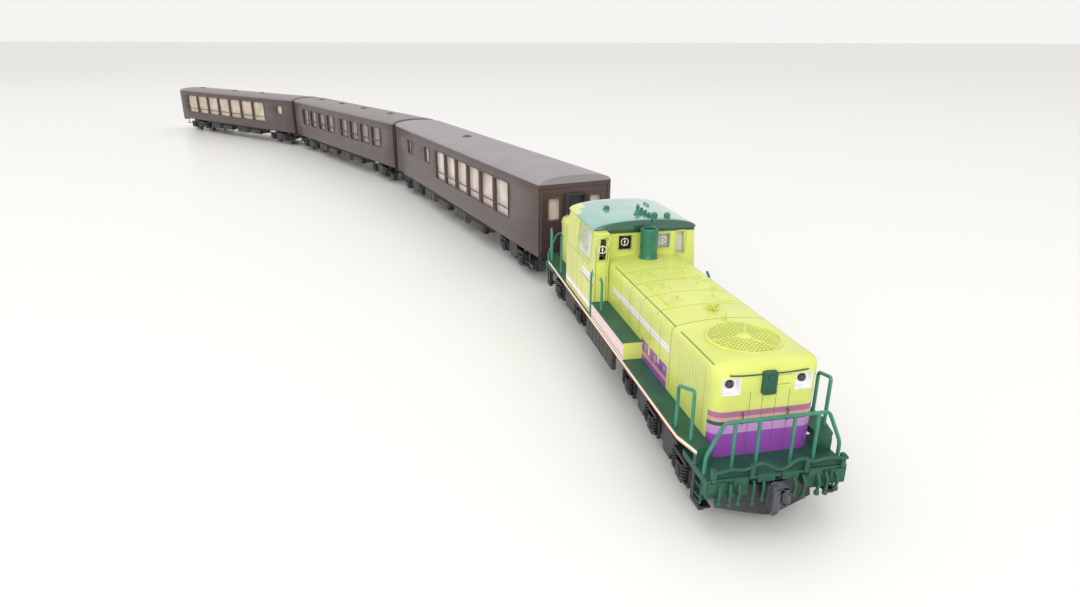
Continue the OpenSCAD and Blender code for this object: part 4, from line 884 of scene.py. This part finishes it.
for i in (1, 2, 3):
    put, body = coach_place(i), "coach_%d" % i
    openings = []
    for x, w, low, high in tall_windows[i]:
        openings += [(k, x - w, x + w, RAIL + low, RAIL + high) for k in (0, 2)]
    for side in (1, 3):
        openings += [(side, s * 5.4 - 1.7, s * 5.4 + 1.7, RAIL + 15, RAIL + 20.5) for s in (-1, 1)]
        openings.append((side, -1.9, 1.9, RAIL + 9, RAIL + 20.8))
    doors = [((s * x - 0.07, s * x + 0.07), big, (8.2, 22.8)) for s in (-1, 1) for x in (56.5, 62.3)]
    lines = [((-66, 66), big, (z - 0.06, z + 0.06)) for z in (10.9, 23.1)]
    side_brown = finish("coach_%d_brown_paint" % i, brown, rough=0.36, tone=0.22, patch=9, grain=0.1,
                        relief=0.01, coat=0.15, own=True, cuts=doors + lines, ink=(0.012, 0.008, 0.008))
    piece("coach_%d_walls" % i, walls(coach_plan, [sill_z, 11, 16, gutter_z], openings), side_brown, body,
          ("coach_%d_body" % i,), move=put, wall=0.7, soft=0.12)
    frames, blinds = [], []
    for x, w, low, high in tall_windows[i]:
        for s in (-1, 1):
            mid = RAIL + (low + high) / 2
            wall_here = ((x, s * half_w, mid), (1, 0, 0), (0, 0, 1), (0, s, 0))
            frames.append(on_wall(frame_ring(2 * w, high - low, 0.6, 0.2, 0.1), *wall_here))
            if w > 4:
                frames.append(block((x - w, x + w), (s * 9.1, s * 9.46),
                                    (RAIL + low + 2.3, RAIL + low + 2.6), 0.08))
    for x in (-1, 1):
        for y in (-5.4, 5.4):
            wall_here = ((x * half_l, y, RAIL + 17.75), (0, 1, 0), (0, 0, 1), (x, 0, 0))
            frames.append(on_wall(frame_ring(3.4, 5.5, 0.5, 0.25, 0.12), *wall_here))
    frame_brown = finish("coach_%d_frame_brown" % i, frame_tint, rough=0.4, tone=0.15, patch=3, grain=0.1,
                         relief=0.006, own=True)
    piece("coach_%d_window_frames" % i, frames, frame_brown, body, move=put)
    milky = finish("coach_%d_milky_glazing" % i, pane_tint[i], rough=0.12,
                   tone=0.25, patch=5, grain=0.3, relief=0.002, clear=0.25)
    coat_with(milky, "coach_%d_glazing" % i)
    lining = finish("coach_%d_lining" % i, blind_tint[i], rough=0.6,
                    tone=0.15, patch=4, grain=0.3, relief=0.02, own=True, stretch=(1, 1, 4))
    inner = []
    for s in (-1, 1):
        x0 = min(x - w for x, w, low, high in tall_windows[i]) - 1
        x1 = max(x + w for x, w, low, high in tall_windows[i]) + 1
        steps = np.linspace(x0, x1, 60)
        fold = 7.9 + 0.12 * np.sin(steps * 3.1)
        level = np.array([RAIL + 10.4, RAIL + 16, RAIL + 22.2])
        curtain = np.stack(np.broadcast_arrays(steps[:, None], s * fold[:, None], level[None, :]), -1)
        inner.append((curtain.reshape(-1, 3), quads(60, 3)))
    inner.append(block((63.4, 63.7), (-7.4, -3.6), (RAIL + 14.8, RAIL + 20.8), 0.05))
    piece("coach_%d_blinds" % i, inner, lining, body, move=put, wall=0.2)

    # The roof's arch is z = gutter + rise cos(a)^1.1 over y = half sin(a)^0.75, with rounded ends,
    # grooved joints across it and a vent over each of the washrooms and fans.
    a = np.radians(np.linspace(-90, 90, 41))
    arch_y = np.sign(a) * np.abs(np.sin(a)) ** 0.75
    arch_z = np.clip(np.cos(a), 0, 1) ** 1.1
    lift = np.radians([0, 30, 60, 90])
    stations = np.r_[-half_l - 0.1 + 0.5 * (1 - np.cos(lift)), np.linspace(-half_l + 4, half_l - 4, 24),
                     (half_l + 0.1 - 0.5 * (1 - np.cos(lift)))[::-1]]
    drawn = np.r_[0.45 * (1 - np.sin(lift)), np.zeros(24), (0.45 * (1 - np.sin(lift)))[::-1]]
    sections = []
    for x, d in zip(stations, drawn):
        y, z = (roof_w - d) * arch_y, gutter_z + (coach_top - gutter_z - d * 0.3) * arch_z
        low = np.linspace(roof_w - d, d - roof_w, 11)[1:-1]
        sections.append(np.c_[np.full(50, x), np.r_[y, low], np.r_[z, np.full(9, gutter_z - 0.05)]])
    roof_lines = [((x - 0.06, x + 0.06), big, (23, 28)) for x in np.arange(-52, 53, 13.0)]
    roof_grey = finish("coach_%d_roof_grey" % i, roof_tint[i], rough=0.42, tone=0.08, patch=14, grain=0.12,
                       relief=0.006, own=True, cuts=roof_lines, ink=(0.12, 0.10, 0.11))
    piece("coach_%d_roof_shell" % i, [loft(sections)], roof_grey, body,
          ("coach_%d_roof" % i,), move=put)
    vent_parts = []
    for x in vent_places[i]:
        vent_parts.append(turned([(1.5, -0.3), (1.5, 0.1), (1.25, 0.28), (0.6, 0.38)], (x, 0, coach_top), 2,
                                 28))
        vent_parts.append(turned([(0.7, 0.3), (0.7, 0.45)], (x, 0, coach_top), 2, 20))
    vent_parts += [block((s * 65.3 - 0.12, s * 65.3 + 0.12), (y - 0.2, y + 0.2), (8.4, 23.0), 0.08)
                   for s in (-1, 1) for y in (-8.7, 8.7)]
    piece("coach_%d_vents" % i, vent_parts, frame_brown, body, move=put)

    # Underframe: battery boxes with lids, air tanks on straps, queen posts and end steps.
    under = []
    tank_outline = [(0.3, -5.2), (1.2, -4.9), (1.35, -4.2), (1.35, 4.2), (1.2, 4.9), (0.3, 5.2)]
    for s in (-1, 1):
        for k in range(4):
            x0 = -30 + 16 * k
            if k % 2:
                under.append(turned(tank_outline, (x0 + 5.5, s * 8.2, 5.0), 0, 20))
            else:
                under += [block((x0 + d, x0 + d + 3.2), (s * 8.5, s * 8.9), (3.7, 6.8), 0.12)
                          for d in (0.3, 3.9, 7.5)]
        under.append(tube([(-34, s * 9.0, 6.6), (34, s * 9.0, 6.6)], 0.18, 6))
        for e in (-1, 1):
            under.append(block((e * 57.5, e * 61.5), (s * 8.3, s * 9.4), (4.2, 4.5), 0.08))
            under.append(block((e * 59.3, e * 59.7), (s * 8.7, s * 9.1), (4.3, 7.4), 0.06))
    for e in (-1, 1):
        under.append(tube(bend([(e * 64.6, 2.6, 7.2), (e * 65.9, 2.7, 7.0), (e * 66.1, 2.8, 5.4),
                                (e * 65.8, 2.8, 4.4)], 0.5), 0.18, 6))
        under.append(block((e * 64.9, e * 65.6), (-9.0, 9.0), (6.3, 7.3), 0.12))
    piece("coach_%d_underframe_gear" % i, under, black, body, move=put)
    seat = finish("coach_%d_seat_plastic" % i, (0.10, 0.07, 0.05), rough=0.6, tone=0.2, patch=4, grain=0.2,
                  relief=0.02)
    coat_with(seat, "coach_%d_floor" % i)
    for k, axle in (("a", 1), ("b", 3)):
        truck = "coach_%d_truck_%s" % (i, k)
        piece(truck + "_fittings", side_fittings((-7, 7), 7.9, 9.4), black, truck + "_body",
              move=place(truck + "_yaw", "coach_%d_axle_%d" % (i, axle)))
    # The gangway between two coaches: a dark frame with a folded rubber-like bellows, one half on each end.
    bellows = []
    for e in (-1, 1):
        rings = []
        for k, (x, grow) in enumerate(((65.1, 0), (65.45, 0.3), (65.8, 0), (66.15, 0.3), (66.5, 0))):
            rings.append([(e * x, y * (2.3 + grow), RAIL + z + (grow if z > 15 else -grow))
                          for y, z in ((-1, 8.6), (1, 8.6), (1, 20.9), (-1, 20.9))])
        p = np.concatenate(rings)
        bellows.append((p, quads(5, 4, close_m=True) + [[0, 1, 2, 3]]))
    piece("coach_%d_gangways" % i, bellows, black, body, move=put, wall=0.15)

# ---------------------------------------------------------------- studio
# A wide pale floor under an even, bright room, with two large soft lights: one in front of the nose
# and one overhead. The camera stands in front of the locomotive, above its roof.

floor_points = np.array([(x, y, 0) for x in np.linspace(-40, 40, 5) for y in np.linspace(-40, 40, 5)])
floor_mesh = bpy.data.meshes.new("floor")
floor_mesh.from_pydata(floor_points.tolist(), [], quads(5, 5))
floor = bpy.data.objects.new("floor", floor_mesh)
bpy.context.collection.objects.link(floor)
floor.data.shade_smooth()
floor_white = bpy.data.materials.new("floor_white")
floor_white.use_nodes = True
floor_white.node_tree.nodes["Principled BSDF"].inputs["Base Color"].default_value = (0.80, 0.795, 0.78, 1)
floor_white.node_tree.nodes["Principled BSDF"].inputs["Roughness"].default_value = 0.35
floor.data.materials.append(floor_white)

world = bpy.data.worlds.new("room")
bpy.context.scene.world = world
world.use_nodes = True
world.node_tree.nodes["Background"].inputs[0].default_value = (1.0, 0.99, 0.97, 1)
world.node_tree.nodes["Background"].inputs[1].default_value = 0.92
for name, at, size, power in (("front_light", (0.55, -0.2, 0.3), 0.6, 2.4),
                              ("ceiling_light", (-0.15, -0.3, 0.9), 1.2, 2.8)):
    lamp = bpy.data.lights.new(name, "AREA")
    lamp.size, lamp.energy = size, power
    o = bpy.data.objects.new(name, lamp)
    bpy.context.collection.objects.link(o)
    aim = Vector((-0.05, 0, 0.01)) - Vector(at)
    o.matrix_world = Matrix.Translation(at) @ aim.to_track_quat("-Z", "Y").to_matrix().to_4x4()
bpy.context.scene.view_settings.view_transform = "Standard"

eye = Vector((0.105186, -0.040781, 0.054552))
yaw, pitch, roll = np.radians((168.281, -19.864, 0.124))
ahead = Vector((np.cos(yaw) * np.cos(pitch), np.sin(yaw) * np.cos(pitch), np.sin(pitch)))
right = Vector((np.sin(yaw), -np.cos(yaw), 0))
up = right.cross(ahead)
right, up = np.cos(roll) * right + np.sin(roll) * up, np.cos(roll) * up - np.sin(roll) * right
camera = bpy.data.objects.new("camera", bpy.data.cameras.new("camera"))
bpy.context.collection.objects.link(camera)
camera.matrix_world = Matrix.Translation(eye) @ Matrix((right, up, -ahead)).transposed().to_4x4()
camera.data.lens, camera.data.sensor_width = 698.18 / 1080 * 36, 36
camera.data.shift_x, camera.data.shift_y = -0.00102, -0.00897
camera.data.clip_start = 0.005
bpy.context.scene.camera = camera
